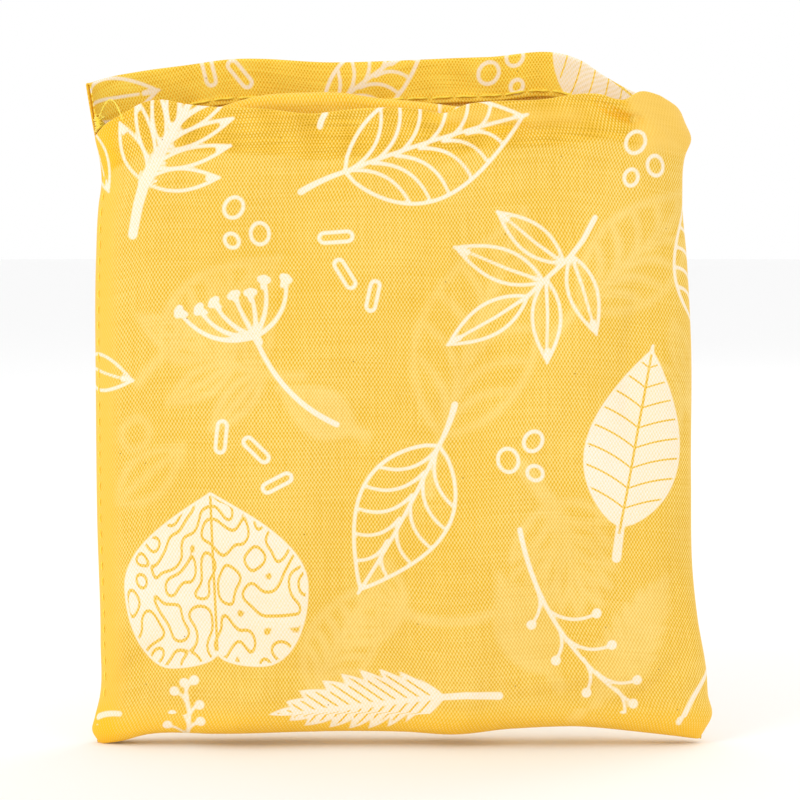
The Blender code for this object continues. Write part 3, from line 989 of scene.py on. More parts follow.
def tubes(
    paths: np.ndarray, radius: np.ndarray, sides: int = 8, twist: float = 0.0, lobes: float = 0.0
) -> tuple[np.ndarray, list[list[int]], np.ndarray]:
    """Closed tubes along many paths of the same number of points.

    Each ring is a circle in the plane square to its path; with lobes it is a two-lobed outline that
    turns along the path, like two strands laid round each other.

    Args:
        paths: Points, as paths x points x 3.
        radius: Radius at each point of each path.
        sides: Points round a ring.
        twist: How far the ring turns per point, in radians.
        lobes: Depth of the hollow between the two strands, as a share of the radius.

    Returns:
        The vertices, the faces and each vertex's place on the flat thread in metres.
    """
    count, steps = paths.shape[:2]
    way = unit(np.gradient(paths, axis=1))
    aside = unit(np.cross(way, np.array([0.31, 0.87, 0.38])))
    other = np.cross(way, aside)
    round_ = np.linspace(0, 2 * np.pi, sides, endpoint=False)
    phase = round_[None, :] + twist * np.arange(steps)[:, None]
    size = radius[..., None] * (1 - lobes * (0.5 + 0.5 * np.cos(2 * round_)))
    cosine, sine = np.cos(phase)[None, ..., None], np.sin(phase)[None, ..., None]
    ring = cosine * aside[:, :, None] + sine * other[:, :, None]
    body = (paths[:, :, None] + ring * size[..., None]).reshape(-1, 3)
    index = np.arange(count * steps * sides).reshape(count, steps, sides)
    a, b = index[:, :-1], index[:, 1:]
    walls = np.stack([a, np.roll(a, -1, 2), np.roll(b, -1, 2), b], -1).reshape(-1, 4)
    first, last = index[:, 0, ::-1], index[:, -1]
    faces = walls.tolist() + first.tolist() + last.tolist()
    along = np.repeat(length_along(paths)[..., None], sides, 2)
    girth = np.broadcast_to(round_ * 0.0003, along.shape)
    start = np.arange(count)[:, None, None] * 0.0137
    return body, faces, np.stack([along + start, girth], -1).reshape(-1, 2)


# ---------------------------------------------------------------- the pouch's cloth
# The pouch's outline in millimetres: across at each height for its sides, height at each place for the rest.
LEFT_EDGE = (
    (0.0, -61.0), (2.5, -62.4), (5.0, -61.9), (9.0, -60.9), (21.0, -60.6), (45.0, -61.1),
    (69.0, -61.2), (97.0, -61.0), (108.0, -60.4), (112.5, -59.8), (116.0, -60.0), (121.0, -61.0),
    (127.9, -62.2), (133.0, -63.0),
)
RIGHT_EDGE = (
    (0.0, 59.4), (2.5, 60.9), (5.5, 62.4), (9.7, 61.6), (14.0, 61.3), (25.3, 59.4), (34.0, 58.4),
    (53.0, 57.9), (81.0, 57.7), (97.0, 56.8), (110.0, 55.8), (118.0, 56.4), (121.0, 57.5),
    (124.5, 56.2), (129.0, 54.4),
)
BASE_LINE = (
    (-61.0, 0.0), (-57.0, 0.7), (-50.8, 2.2), (-37.0, 2.5), (0.0, 2.9), (10.8, 2.4), (21.2, 3.5),
    (31.6, 4.1), (45.6, 2.9), (54.6, 1.8), (60.0, 0.9),
)
FRONT_MOUTH = (
    (-62.0, 120.5), (-59.2, 123.5), (-54.6, 126.0), (-51.0, 127.9), (-47.0, 128.5), (-42.6, 127.7),
    (-27.0, 126.7), (-17.0, 125.8), (-11.0, 126.5), (3.6, 126.6), (8.6, 125.9), (12.0, 127.4),
    (17.0, 128.1), (25.6, 128.4), (38.6, 129.6), (43.6, 128.6), (46.8, 130.2), (50.0, 129.8),
    (53.4, 128.4), (55.6, 126.6), (57.4, 122.0),
)
BACK_MOUTH = (
    (-63.0, 132.2), (-58.6, 133.7), (-52.8, 134.9), (-42.8, 136.3), (-36.0, 137.3), (-14.0, 136.9),
    (17.0, 137.9), (33.4, 138.2), (36.4, 137.0), (40.0, 134.5), (46.4, 130.9), (51.6, 129.0),
    (54.4, 127.6), (56.6, 123.6),
)


@dataclass(frozen=True)
class Fold:
    """A crease or a roll in the cloth: a ridge along a bowed line, lower towards its ends."""

    a: tuple[float, float]
    b: tuple[float, float]
    bow: float
    height: float
    above: float
    below: float

    def at(self, s: np.ndarray, t: np.ndarray) -> np.ndarray:
        """Its height over the cloth, in millimetres.

        Across the line it is a bell, as wide as `above` on its left and `below` on its right. Along
        the line it follows a sine's square root.
        """
        line = bend(self.a, self.b, self.bow, 14)
        total = np.zeros(np.shape(s))
        margin = 3.0 * max(self.above, self.below)
        low, high = line.min(0) - margin, line.max(0) + margin
        near = (s > low[0]) & (s < high[0]) & (t > low[1]) & (t < high[1])
        places = np.stack([s[near], t[near]], 1)
        start, way = line[:-1], np.diff(line, axis=0)
        long = (way**2).sum(1)
        off = places[:, None] - start
        share = np.clip((off * way).sum(2) / long, 0, 1)
        gap = off - share[..., None] * way
        far = np.linalg.norm(gap, axis=2)
        best = far.argmin(1)
        pick = np.arange(len(places))
        side = (way[best, 0] * off[pick, best, 1] - way[best, 1] * off[pick, best, 0]) > 0
        width = np.where(side, self.above, self.below)
        along = (best + share[pick, best]) / len(way)
        bell = np.exp(-((far[pick, best] / width) ** 2))
        total[near] = self.height * bell * np.sqrt(np.clip(np.sin(np.pi * along), 0, 1))
        return total


FRONT_FOLDS = (
    Fold((10.0, 124.6), (38.0, 125.8), -0.03, 1.3, 2.0, 1.5),
    Fold((8.0, 122.0), (30.0, 121.6), 0.10, -0.9, 1.0, 2.2),
    Fold((46.0, 128.5), (55.0, 117.0), 0.12, 0.9, 2.2, 2.2),
    Fold((42.5, 128.2), (51.0, 124.6), -0.08, -1.6, 0.7, 1.3),
    Fold((45.5, 130.0), (49.5, 126.8), 0.12, -0.6, 0.5, 0.9),
    Fold((52.0, 121.5), (56.5, 115.0), 0.10, -0.6, 0.8, 1.2),
    Fold((-52.0, 127.0), (-40.0, 121.0), -0.10, 0.7, 1.6, 2.6),
    Fold((-30.0, 124.5), (-12.0, 121.0), 0.08, -0.6, 1.2, 2.4),
    Fold((-57.0, 112.0), (-34.0, 118.0), 0.10, -0.5, 1.2, 3.0),
    Fold((40.0, 118.0), (54.0, 104.0), 0.10, -0.6, 1.4, 3.5),
    Fold((30.0, 116.0), (46.0, 92.0), -0.10, 0.55, 3.0, 4.0),
    Fold((-56.0, 100.0), (-46.0, 70.0), 0.08, -0.5, 1.4, 3.2),
    Fold((50.0, 96.0), (47.0, 60.0), -0.06, -0.5, 3.0, 1.4),
    Fold((-20.0, 112.0), (4.0, 96.0), 0.12, 0.5, 3.6, 2.0),
    Fold((8.0, 108.0), (2.0, 82.0), 0.10, -0.35, 1.6, 3.2),
    Fold((-8.0, 84.0), (18.0, 70.0), -0.10, 0.45, 2.0, 4.0),
    Fold((-44.0, 62.0), (-18.0, 66.0), 0.12, -0.4, 2.6, 1.4),
    Fold((24.0, 80.0), (44.0, 66.0), 0.12, 0.4, 2.0, 3.6),
    Fold((-58.0, 40.0), (-40.0, 18.0), 0.10, -0.6, 1.6, 3.6),
    Fold((-52.0, 14.0), (-24.0, 8.0), 0.06, 0.6, 2.2, 2.6),
    Fold((-30.0, 20.0), (2.0, 12.0), -0.06, -0.5, 2.0, 3.0),
    Fold((4.0, 30.0), (14.0, 8.0), 0.10, 0.5, 2.0, 3.4),
    Fold((20.0, 12.0), (50.0, 14.0), 0.05, 0.7, 2.4, 2.0),
    Fold((30.0, 34.0), (54.0, 18.0), 0.10, -0.55, 1.6, 3.2),
    Fold((40.0, 8.0), (58.0, 22.0), -0.08, -0.6, 1.6, 2.4),
    Fold((-60.0, 8.0), (-46.0, 22.0), 0.06, -0.5, 1.6, 2.4),
    Fold((-26.0, 46.0), (-4.0, 36.0), 0.14, 0.4, 2.4, 3.4),
    Fold((-50.0, 90.0), (-30.0, 84.0), 0.10, 0.4, 2.2, 3.4),
)
# Painted shade in the pinched creases: the height of these is a share of the deep colour.
FRONT_CREASE_SHADES = (
    Fold((41.5, 128.8), (51.5, 124.2), -0.08, 1.5, 0.6, 0.9),
    Fold((44.5, 130.4), (49.0, 126.6), 0.14, 0.9, 0.4, 0.7),
    Fold((7.5, 126.2), (29.0, 125.2), -0.14, 0.7, 0.5, 1.0),
    Fold((-58.0, 122.0), (-48.0, 127.4), 0.10, 0.8, 0.6, 1.2),
)
BACK_FOLDS = (
    Fold((-50.0, 118.0), (-20.0, 108.0), 0.10, 0.6, 3.0, 2.0),
    Fold((10.0, 112.0), (40.0, 100.0), -0.10, -0.6, 1.6, 3.4),
    Fold((-44.0, 84.0), (-20.0, 64.0), 0.12, 0.5, 3.0, 2.0),
    Fold((0.0, 84.0), (10.0, 50.0), -0.08, -0.5, 1.6, 3.2),
    Fold((24.0, 70.0), (50.0, 52.0), 0.10, 0.55, 2.4, 3.4),
    Fold((-54.0, 40.0), (-30.0, 16.0), 0.10, -0.6, 1.6, 3.4),
    Fold((-20.0, 26.0), (16.0, 14.0), -0.08, 0.6, 2.4, 2.8),
    Fold((24.0, 34.0), (50.0, 14.0), 0.10, -0.6, 1.6, 3.0),
    Fold((-40.0, 9.0), (40.0, 10.0), 0.02, 0.5, 2.4, 2.2),
)


@dataclass
class Panel:
    """One printed panel of the pouch, from the base seam to the hem turned in at its mouth.

    Its grid goes along the cloth: under the base, round the turn, up the wall, over the mouth edge
    and down the inside of the hem. Across, it follows a rounded plan and curls in at both seams.
    """

    name: str
    side: Side
    body: str
    lip: str
    nodes: tuple[str, ...]
    mouth: tuple[tuple[float, float], ...]
    marks: tuple[Mark, ...]
    ghosts: tuple[Mark, ...]
    folds: tuple[Fold, ...]
    creases: tuple[Fold, ...]
    seed: int
    columns: int = 264
    wall_rows: int = 268
    ply: float = 0.00030
    flat_rows: int = 8
    arc_rows: int = 14
    fold_rows: int = 7
    hem_rows: int = 22
    hem: float = 0.0090
    hem_gap: float = 0.00100
    base_half: float = 0.0080
    base_radius: float = 0.0040
    mouth_half: float = 0.0103
    belly_half: float = 0.0115
    belly_level: float = 0.055
    mouth_level: float = 0.127
    ripple: float = 0.42
    spread: float = 1.02
    shrink: float = 0.984
    print_middle: float = 69.0
    bend_start: tuple[float, float, float] = (0.0, -0.0060, 0.1200)
    bend_end: tuple[float, float, float] = (0.0, -0.0105, 0.1235)
    points: np.ndarray = field(init=False, repr=False)
    flat: np.ndarray = field(init=False, repr=False)
    way: np.ndarray = field(init=False, repr=False)
    top: np.ndarray = field(init=False, repr=False)
    up: np.ndarray = field(init=False, repr=False)
    inner: np.ndarray = field(init=False, repr=False)
    print_s: np.ndarray = field(init=False, repr=False)
    print_t: np.ndarray = field(init=False, repr=False)

    def half_depth(self, z: np.ndarray) -> np.ndarray:
        """Half the pouch's depth at height z: narrow at the base and mouth, full at the belly."""
        rise = ease((z - self.base_radius) / (self.belly_level - self.base_radius))
        fall = ease((z - self.belly_level) / (self.mouth_level - self.belly_level))
        lower = self.base_half + (self.belly_half - self.base_half) * rise
        return lower + (self.mouth_half - self.belly_half) * fall

    @staticmethod
    def plan(u: np.ndarray) -> np.ndarray:
        """Share of the depth at u, the share of the half width: the root of 1 less u's fourth power."""
        return np.sqrt(np.clip(1.0 - u**4, 0.0, 1.0))

    @staticmethod
    def span(u: np.ndarray, z: np.ndarray) -> np.ndarray:
        """Where a share of the half width lies between both side edges at height z, in metres."""
        left, right = through(LEFT_EDGE, z / MM) * MM, through(RIGHT_EDGE, z / MM) * MM
        return left + (right - left) * (1 + u) / 2

    def across(self) -> tuple[np.ndarray, np.ndarray]:
        """Shares of the half width, evenly spaced along the plan's curve, and the way along it in metres."""
        fine = np.sin(np.linspace(-np.pi / 2, np.pi / 2, 4001))
        step = np.hypot(np.diff(fine) * HALF_WIDTH, np.diff(self.plan(fine)) * self.mouth_half)
        way = np.concatenate([[0.0], np.cumsum(step)])
        even = np.linspace(0.0, way[-1], self.columns + 1)
        return np.interp(even, way, fine), even - way[-1] / 2

    def profile(self, top: np.ndarray, base: np.ndarray) -> tuple[np.ndarray, ...]:
        """The path of each column from the seam to the hem's lower edge.

        Args:
            top: Height of the mouth edge at each column.
            base: Height of the lowest cloth at each column.

        Returns:
            Share of the depth or distance from the seam's plane, height, way along the cloth, a number
            that is 0 on the outside and 1 on the hem's inside, and the inset from the outer face.
        """
        flat_end = self.base_half - self.base_radius
        turn = self.hem_gap / 2
        foot = base + self.base_radius
        seam = np.arange(self.flat_rows)[:, None] / self.flat_rows
        arc = np.arange(self.arc_rows)[:, None] / self.arc_rows * np.pi / 2
        wall = foot + (top - turn - foot) * np.arange(self.wall_rows + 1)[:, None] / self.wall_rows
        over = np.arange(1, self.fold_rows)[:, None] / self.fold_rows * np.pi
        hem = top - turn - (self.hem - turn) * np.arange(self.hem_rows + 1)[:, None] / self.hem_rows
        ones = np.ones(top.shape)
        bottom = flat_end + self.base_radius * np.pi / 2
        edge = bottom + top - turn - foot
        under = np.zeros((self.flat_rows + self.arc_rows + self.wall_rows + 1, len(top)))
        out = (
            flat_end * seam * ones, (flat_end + self.base_radius * np.sin(arc)) * ones, self.half_depth(wall),
            self.half_depth(top - turn) * np.ones(over.shape), self.half_depth(hem),
        )
        up = (
            base + 0.0006 * (1 - ease(seam * 2.5)), base + self.base_radius * (1 - np.cos(arc)), wall,
            top - turn + turn * np.sin(over), hem,
        )
        along = (
            flat_end * seam * ones, (flat_end + self.base_radius * arc) * ones, bottom + wall - foot,
            edge + turn * over, edge + turn * np.pi + top - turn - hem,
        )
        inner = (under, over / np.pi * ones, np.ones(hem.shape))
        inset = (under, turn * (1 - np.cos(over)) * ones, np.full(hem.shape, self.hem_gap))
        return tuple(np.concatenate(part) for part in (out, up, along, inner, inset))

    def relief(self, s: np.ndarray, t: np.ndarray, hold: np.ndarray) -> np.ndarray:
        """How far the cloth stands off its smooth shape: folds and waves, none at the seams.

        Args:
            s: Places across the cloth, in millimetres.
            t: Heights, in millimetres.
            hold: 0 where the cloth is held, 1 where it is free.

        Returns:
            The heights over the smooth shape, in metres.
        """
        total = Waves(self.seed, 14.0, 60.0).at(s, t * 0.8) * self.ripple
        total += Waves(self.seed + 7, 5.5, 14.0, 34).at(s, t) * 0.060 * self.ripple / 0.42
        for fold in self.folds:
            total += fold.at(s, t)
        return total * hold * MM

    def build(self) -> None:
        """Works out the grid of the outer face and where its points lie on the flat cloth."""
        u, way = self.across()
        if self.side is Side.BACK:
            u, way = u[::-1], way[::-1]
        top = through(self.mouth, self.span(u, np.full(u.shape, 0.125)) / MM) * MM
        top = through(self.mouth, self.span(u, top) / MM) * MM
        base = through(BASE_LINE, self.span(u, np.full(u.shape, 0.002)) / MM) * MM
        out, up, along, inner, inset = self.profile(top, base)
        x = self.span(u, up)
        x -= inset * np.sign(u) * np.abs(u) ** 12
        round_ = self.plan(u)
        hold = ease((np.abs(way).max() - np.abs(way)) / 0.009) * ease(up / 0.006)
        s = np.broadcast_to(way, up.shape) / MM
        t = np.where(along < UNDER, (along - UNDER) / MM + 5.0, up / MM)
        seen = np.where(inner > 0.5, self.shrink, self.spread)
        lean = np.where(inner > 0.5, 0.6, -0.7)
        self.print_s = (x / MM) * seen + (way - HALF_WIDTH * u) / MM
        self.print_t = (t - self.print_middle) * seen + self.print_middle + lean + HEM_PLANE * (inner > 0.5)
        lift = self.relief(s, up / MM, hold)
        y = self.side.value * (0.00005 + np.maximum(out - inset, 0.0) * round_ + lift)
        self.points = np.stack([x, y, up], -1)
        self.flat = np.stack([np.broadcast_to(way, up.shape), along], -1)
        self.inner, self.up, self.way, self.top = inner, up, way, top

    def point_on(self, s: np.ndarray, z: np.ndarray, inside: bool) -> tuple[np.ndarray, np.ndarray]:
        """Points and normals of the cloth at places along a level line.

        Args:
            s: The way across the cloth, in metres.
            z: The heights, in metres.
            inside: Whether to read the hem's inner face or the outer face.

        Returns:
            The points and the unit normals.
        """
        rows = np.nonzero((self.inner[:, 0] == 1.0) if inside else (self.inner[:, 0] == 0.0))[0]
        points, normals = self.points[rows], grid_normals(self.points)[rows]
        order = np.argsort(self.way)
        column = np.interp(s, self.way[order], np.arange(len(order))[:: 1 if order[0] == 0 else -1])
        c = np.clip(column.astype(int), 0, len(self.way) - 2)
        f = (column - c)[:, None]
        here = points[:, c] * (1 - f) + points[:, c + 1] * f
        facing = normals[:, c] * (1 - f) + normals[:, c + 1] * f
        tall = here[..., 2]
        row = np.abs(tall - z[None]).argmin(0)
        pick = np.arange(len(s))
        return here[row, pick], facing[row, pick]

    def tones(self) -> dict[str, np.ndarray]:
        """Where the cloth is pale and smooth or has a painted highlight, doubled, of a deeper yellow or in
        painted shade, or dim, as shares from 0 to 1.
        """
        s, z = np.broadcast_to(self.way / MM, self.up.shape), self.up / MM
        outside = 1.0 - self.inner
        hem_band = ease((z - z.max(0, keepdims=True) + self.hem / MM + 0.6) / 1.2) * outside
        strip = ease((-s - 53.5) / 5.0) * (1.0 if self.side is Side.FRONT else 0.3)
        corner = ease((s - 46.0) / 4.0) * ease((z - 116.0) / 5.0)
        # The rolled lip: a band of painted highlight, added to pale and taken off deep.
        level = 125.2 + 0.02 * (s - 25)
        roll = np.exp(-(((z - level) / 2.2) ** 2)) * ease((s - 6) / 6) * ease((44 - s) / 8)
        rim = ease((np.abs(s) - 60.5) / 1.5)
        pale = np.clip(strip * 0.9 + corner + rim * 0.6 + 0.8 * roll * outside, 0, 1)
        double = np.clip(hem_band * (1 - 0.7 * pale) + self.inner * 0.8, 0, 1)
        # deep: painted shade towards the base, where the cloth turns under, and a deeper yellow in the
        # doubled hem and on its inside.
        deep = 0.85 * ease((11.0 - z) / 10.0) + 0.70 * hem_band + 0.85 * self.inner * (1 - 0.6 * corner)
        # More deep along the left strip, and painted shade in the pinched creases from the crease folds.
        deep = deep + 0.45 * strip + outside * sum(crease.at(s, z) for crease in self.creases)
        deep = np.clip(deep * (1 - 0.8 * corner - 0.6 * roll), 0, 1)
        dim = hem_band * (1 - 0.8 * pale)
        return {"pale": pale, "double": double, "deep": deep, "dim": dim, "inner": self.inner}

    def dress(self, material: bpy.types.Material) -> bpy.types.Object:
        """Makes the mesh with its print, and hides the parts that it stands for.

        Args:
            material: The printed cloth.

        Returns:
            The object.
        """
        height = self.points.shape[0]
        edge = height - self.hem_rows - self.fold_rows
        kept = (
            np.arange(0, 24, 2), np.arange(24, edge - 3, 4), np.arange(edge - 3, edge + 9),
            np.arange(edge + 9, height, 4), [height - 1],
        )
        rows = np.unique(np.concatenate(kept))
        columns = np.unique(np.concatenate([np.arange(0, self.columns, 4), [self.columns]]))
        mesh, source = cloth_shell(self.name, self.points, self.flat, self.ply, rows, columns)
        ink = InkField(self.print_s, self.print_t).add_all(self.marks)
        ghost = InkField(self.print_s, self.print_t).add_all(self.ghosts).value
        fields = ink.fields() | {"ghost": ghost} | self.tones()
        put(mesh, **{k: np.ravel(v)[source] for k, v in fields.items()})
        made = link(self.name, mesh, material)
        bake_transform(made)
        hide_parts(*self.nodes)
        return made


# ---------------------------------------------------------------- threads
@dataclass
class StitchRow:
    """A row of machine stitches: two-strand threads that rise from the cloth and sink back into it."""

    name: str
    nodes: tuple[str, ...]
    thread: float = 0.00024
    length: float = 0.0046
    space: float = 0.0006
    steps: int = 15
    sides: int = 8
    seed: int = 3

    def build(
        self, places: np.ndarray, normals: np.ndarray, material: bpy.types.Material
    ) -> bpy.types.Object:
        """Makes the stitches along a line on the cloth.

        Each stitch follows the line for its length. Its height over the cloth is a flat-topped arch
        that starts and ends below the surface.

        Args:
            places: Closely spaced points of the line.
            normals: The cloth's unit normals there.
            material: The thread's material.

        Returns:
            The object.
        """
        way = length_along(places)
        pitch = self.length + self.space
        count = int(way[-1] // pitch)
        draw = np.random.default_rng(self.seed)
        starts = (way[-1] - count * pitch + self.space) / 2 + pitch * np.arange(count)
        share = np.linspace(0, 1, self.steps)
        long = self.length * (1 + draw.uniform(-0.05, 0.03, count))[:, None]
        at = starts[:, None] + long * share
        line = np.stack([np.interp(at, way, places[:, k]) for k in range(3)], -1)
        out = np.stack([np.interp(at, way, normals[:, k]) for k in range(3)], -1)
        out = unit(out)
        sideways = np.cross(unit(np.gradient(line, axis=1)), out)
        arch = 1 - np.abs(2 * share - 1) ** 5
        rise = -0.0004 + 0.00052 * arch
        slant = draw.uniform(-1, 1, count)[:, None] * 0.00011 * (2 * share - 1)
        path = line + out * rise[None, :, None] + sideways * slant[..., None]
        radius = np.broadcast_to(self.thread * (0.86 + 0.14 * arch), path.shape[:2])
        points, faces, flat = tubes(path, radius, self.sides, 0.42, 0.24)
        made = link(self.name, make_mesh(self.name, points, faces, flat), material)
        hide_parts(*self.nodes)
        log.info("%s: %d stitches", self.name, count)
        return made


@dataclass
class Tack:
    """The knot of thread that ties both mouth edges together at a corner, with a loose end."""

    name: str
    node: str
    centre: tuple[float, float, float]
    hand: int
    loops: int = 12
    thread: float = 0.00021
    tail: bool = True
    seed: int = 5

    def build(self, material: bpy.types.Material) -> bpy.types.Object:
        """Makes the loops and the loose end.

        The loops are tilted ellipses round the edge of the cloth, each a little turned and shifted.
        The loose end leaves the knot and droops in a bow.
        """
        draw = np.random.default_rng(self.seed)
        turn = np.linspace(0, 2 * np.pi, 22)
        shift = np.linspace(-1, 1, self.loops)[:, None]
        tilt = draw.uniform(-0.8, 0.8, (self.loops, 1))
        wide = 0.00080 + 0.0002 * draw.uniform(-1, 1, (self.loops, 1))
        deep = 0.00165 + 0.0002 * draw.uniform(-1, 1, (self.loops, 1))
        x = wide * np.cos(turn) + 0.0002 * shift * self.hand
        y = deep * np.sin(turn)
        z = 0.0013 * shift + tilt * x + 0.25 * y * shift
        rings = np.stack([x, y, z], -1) + np.array(self.centre)
        points, faces, flat = tubes(rings, np.full(rings.shape[:2], self.thread), 7, 0.5, 0.2)
        if self.tail:
            t = np.linspace(0, 1, 40)
            start = np.array(self.centre) + np.array([0.0, -0.0014, 0.0010])
            droop = 0.0046 * np.sin(np.pi * t * 0.9) - 0.0022 * t
            reach = np.stack([0.0055 * t * -self.hand, -0.0078 * t**0.7, droop], 1)
            more, extra, laid = tubes((start + reach)[None], np.full((1, 40), 0.00017), 7, 0.6, 0.2)
            faces = faces + [tuple(i + len(points) for i in f) for f in extra]
            points, flat = np.concatenate([points, more]), np.concatenate([flat, laid])
        made = link(self.name, make_mesh(self.name, points, faces, flat), material)
        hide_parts(self.node)
        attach(made, "pouch")
        return made


@dataclass
class SeamStrip:
    """A seam allowance inside the pouch, as a plain strip; its overlocking is not drawn."""

    name: str
    node: str
    line: np.ndarray
    inward: np.ndarray
    width: float = 0.0044
    thickness: float = 0.0009
    sides: int = 14

    def build(self, material: bpy.types.Material) -> bpy.types.Object:
        """Makes the strip: an oval section carried along the line, with a slight wave in its width."""
        steps = len(self.line)
        turn = np.linspace(0, 2 * np.pi, self.sides, endpoint=False)
        share = np.arange(steps) / (steps - 1)
        wide = self.width * (1 + 0.05 * np.sin(share * 60.0)) / 2
        flatness = np.sign(np.sin(turn)) * np.abs(np.sin(turn)) ** 0.7
        across = wide[:, None] * (1 + np.cos(turn))
        thick = np.cross(unit(np.gradient(self.line, axis=0)), self.inward)
        points = self.line[:, None] + self.inward[:, None] * across[..., None]
        points = points + thick[:, None] * (flatness * self.thickness / 2)[None, :, None]
        index = np.arange(steps * self.sides).reshape(steps, self.sides)
        a, b = index[:-1], index[1:]
        walls = np.stack([a, np.roll(a, -1, 1), np.roll(b, -1, 1), b], -1).reshape(-1, 4)
        faces = walls.tolist() + [index[0, ::-1].tolist(), index[-1].tolist()]
        long = np.repeat(share[:, None] * 0.11, self.sides, 1)
        flat = np.stack([across, long], -1).reshape(-1, 2)
        mesh = make_mesh(self.name, points.reshape(-1, 3), faces, flat)
        made = link(self.name, mesh, material)
        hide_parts(self.node)
        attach(made, "pouch")
        return made


# ---------------------------------------------------------------- the folded tote
TOTE_CREST = (
    (-53.0, 123.0), (-45.0, 124.8), (-36.2, 127.4), (-28.0, 129.6), (-20.0, 130.2), (-12.0, 130.2),
    (-5.0, 129.2), (3.6, 128.4), (15.0, 127.0), (28.0, 126.0), (40.0, 124.6), (53.0, 122.4),
)
TOTE_FOLDS = (
    Fold((-18.0, 2.0), (-17.0, 126.0), 0.01, 0.34, 1.0, 3.2),
    Fold((17.5, 126.0), (18.5, 2.0), 0.01, 0.34, 3.2, 1.0),
    Fold((-50.0, 62.0), (50.0, 65.0), 0.01, -0.30, 1.2, 2.8),
    Fold((-50.0, 30.0), (50.0, 28.0), -0.01, 0.22, 1.2, 3.4),
    Fold((-46.0, 104.0), (-20.0, 82.0), 0.10, -0.35, 1.4, 3.6),
    Fold((24.0, 100.0), (48.0, 80.0), -0.10, 0.30, 1.6, 3.6),
    Fold((-10.0, 50.0), (8.0, 24.0), 0.12, -0.28, 1.6, 3.0),
    Fold((-44.0, 44.0), (-28.0, 14.0), 0.10, 0.32, 1.6, 3.0),
    Fold((22.0, 52.0), (44.0, 38.0), 0.14, -0.30, 1.4, 3.4),
)


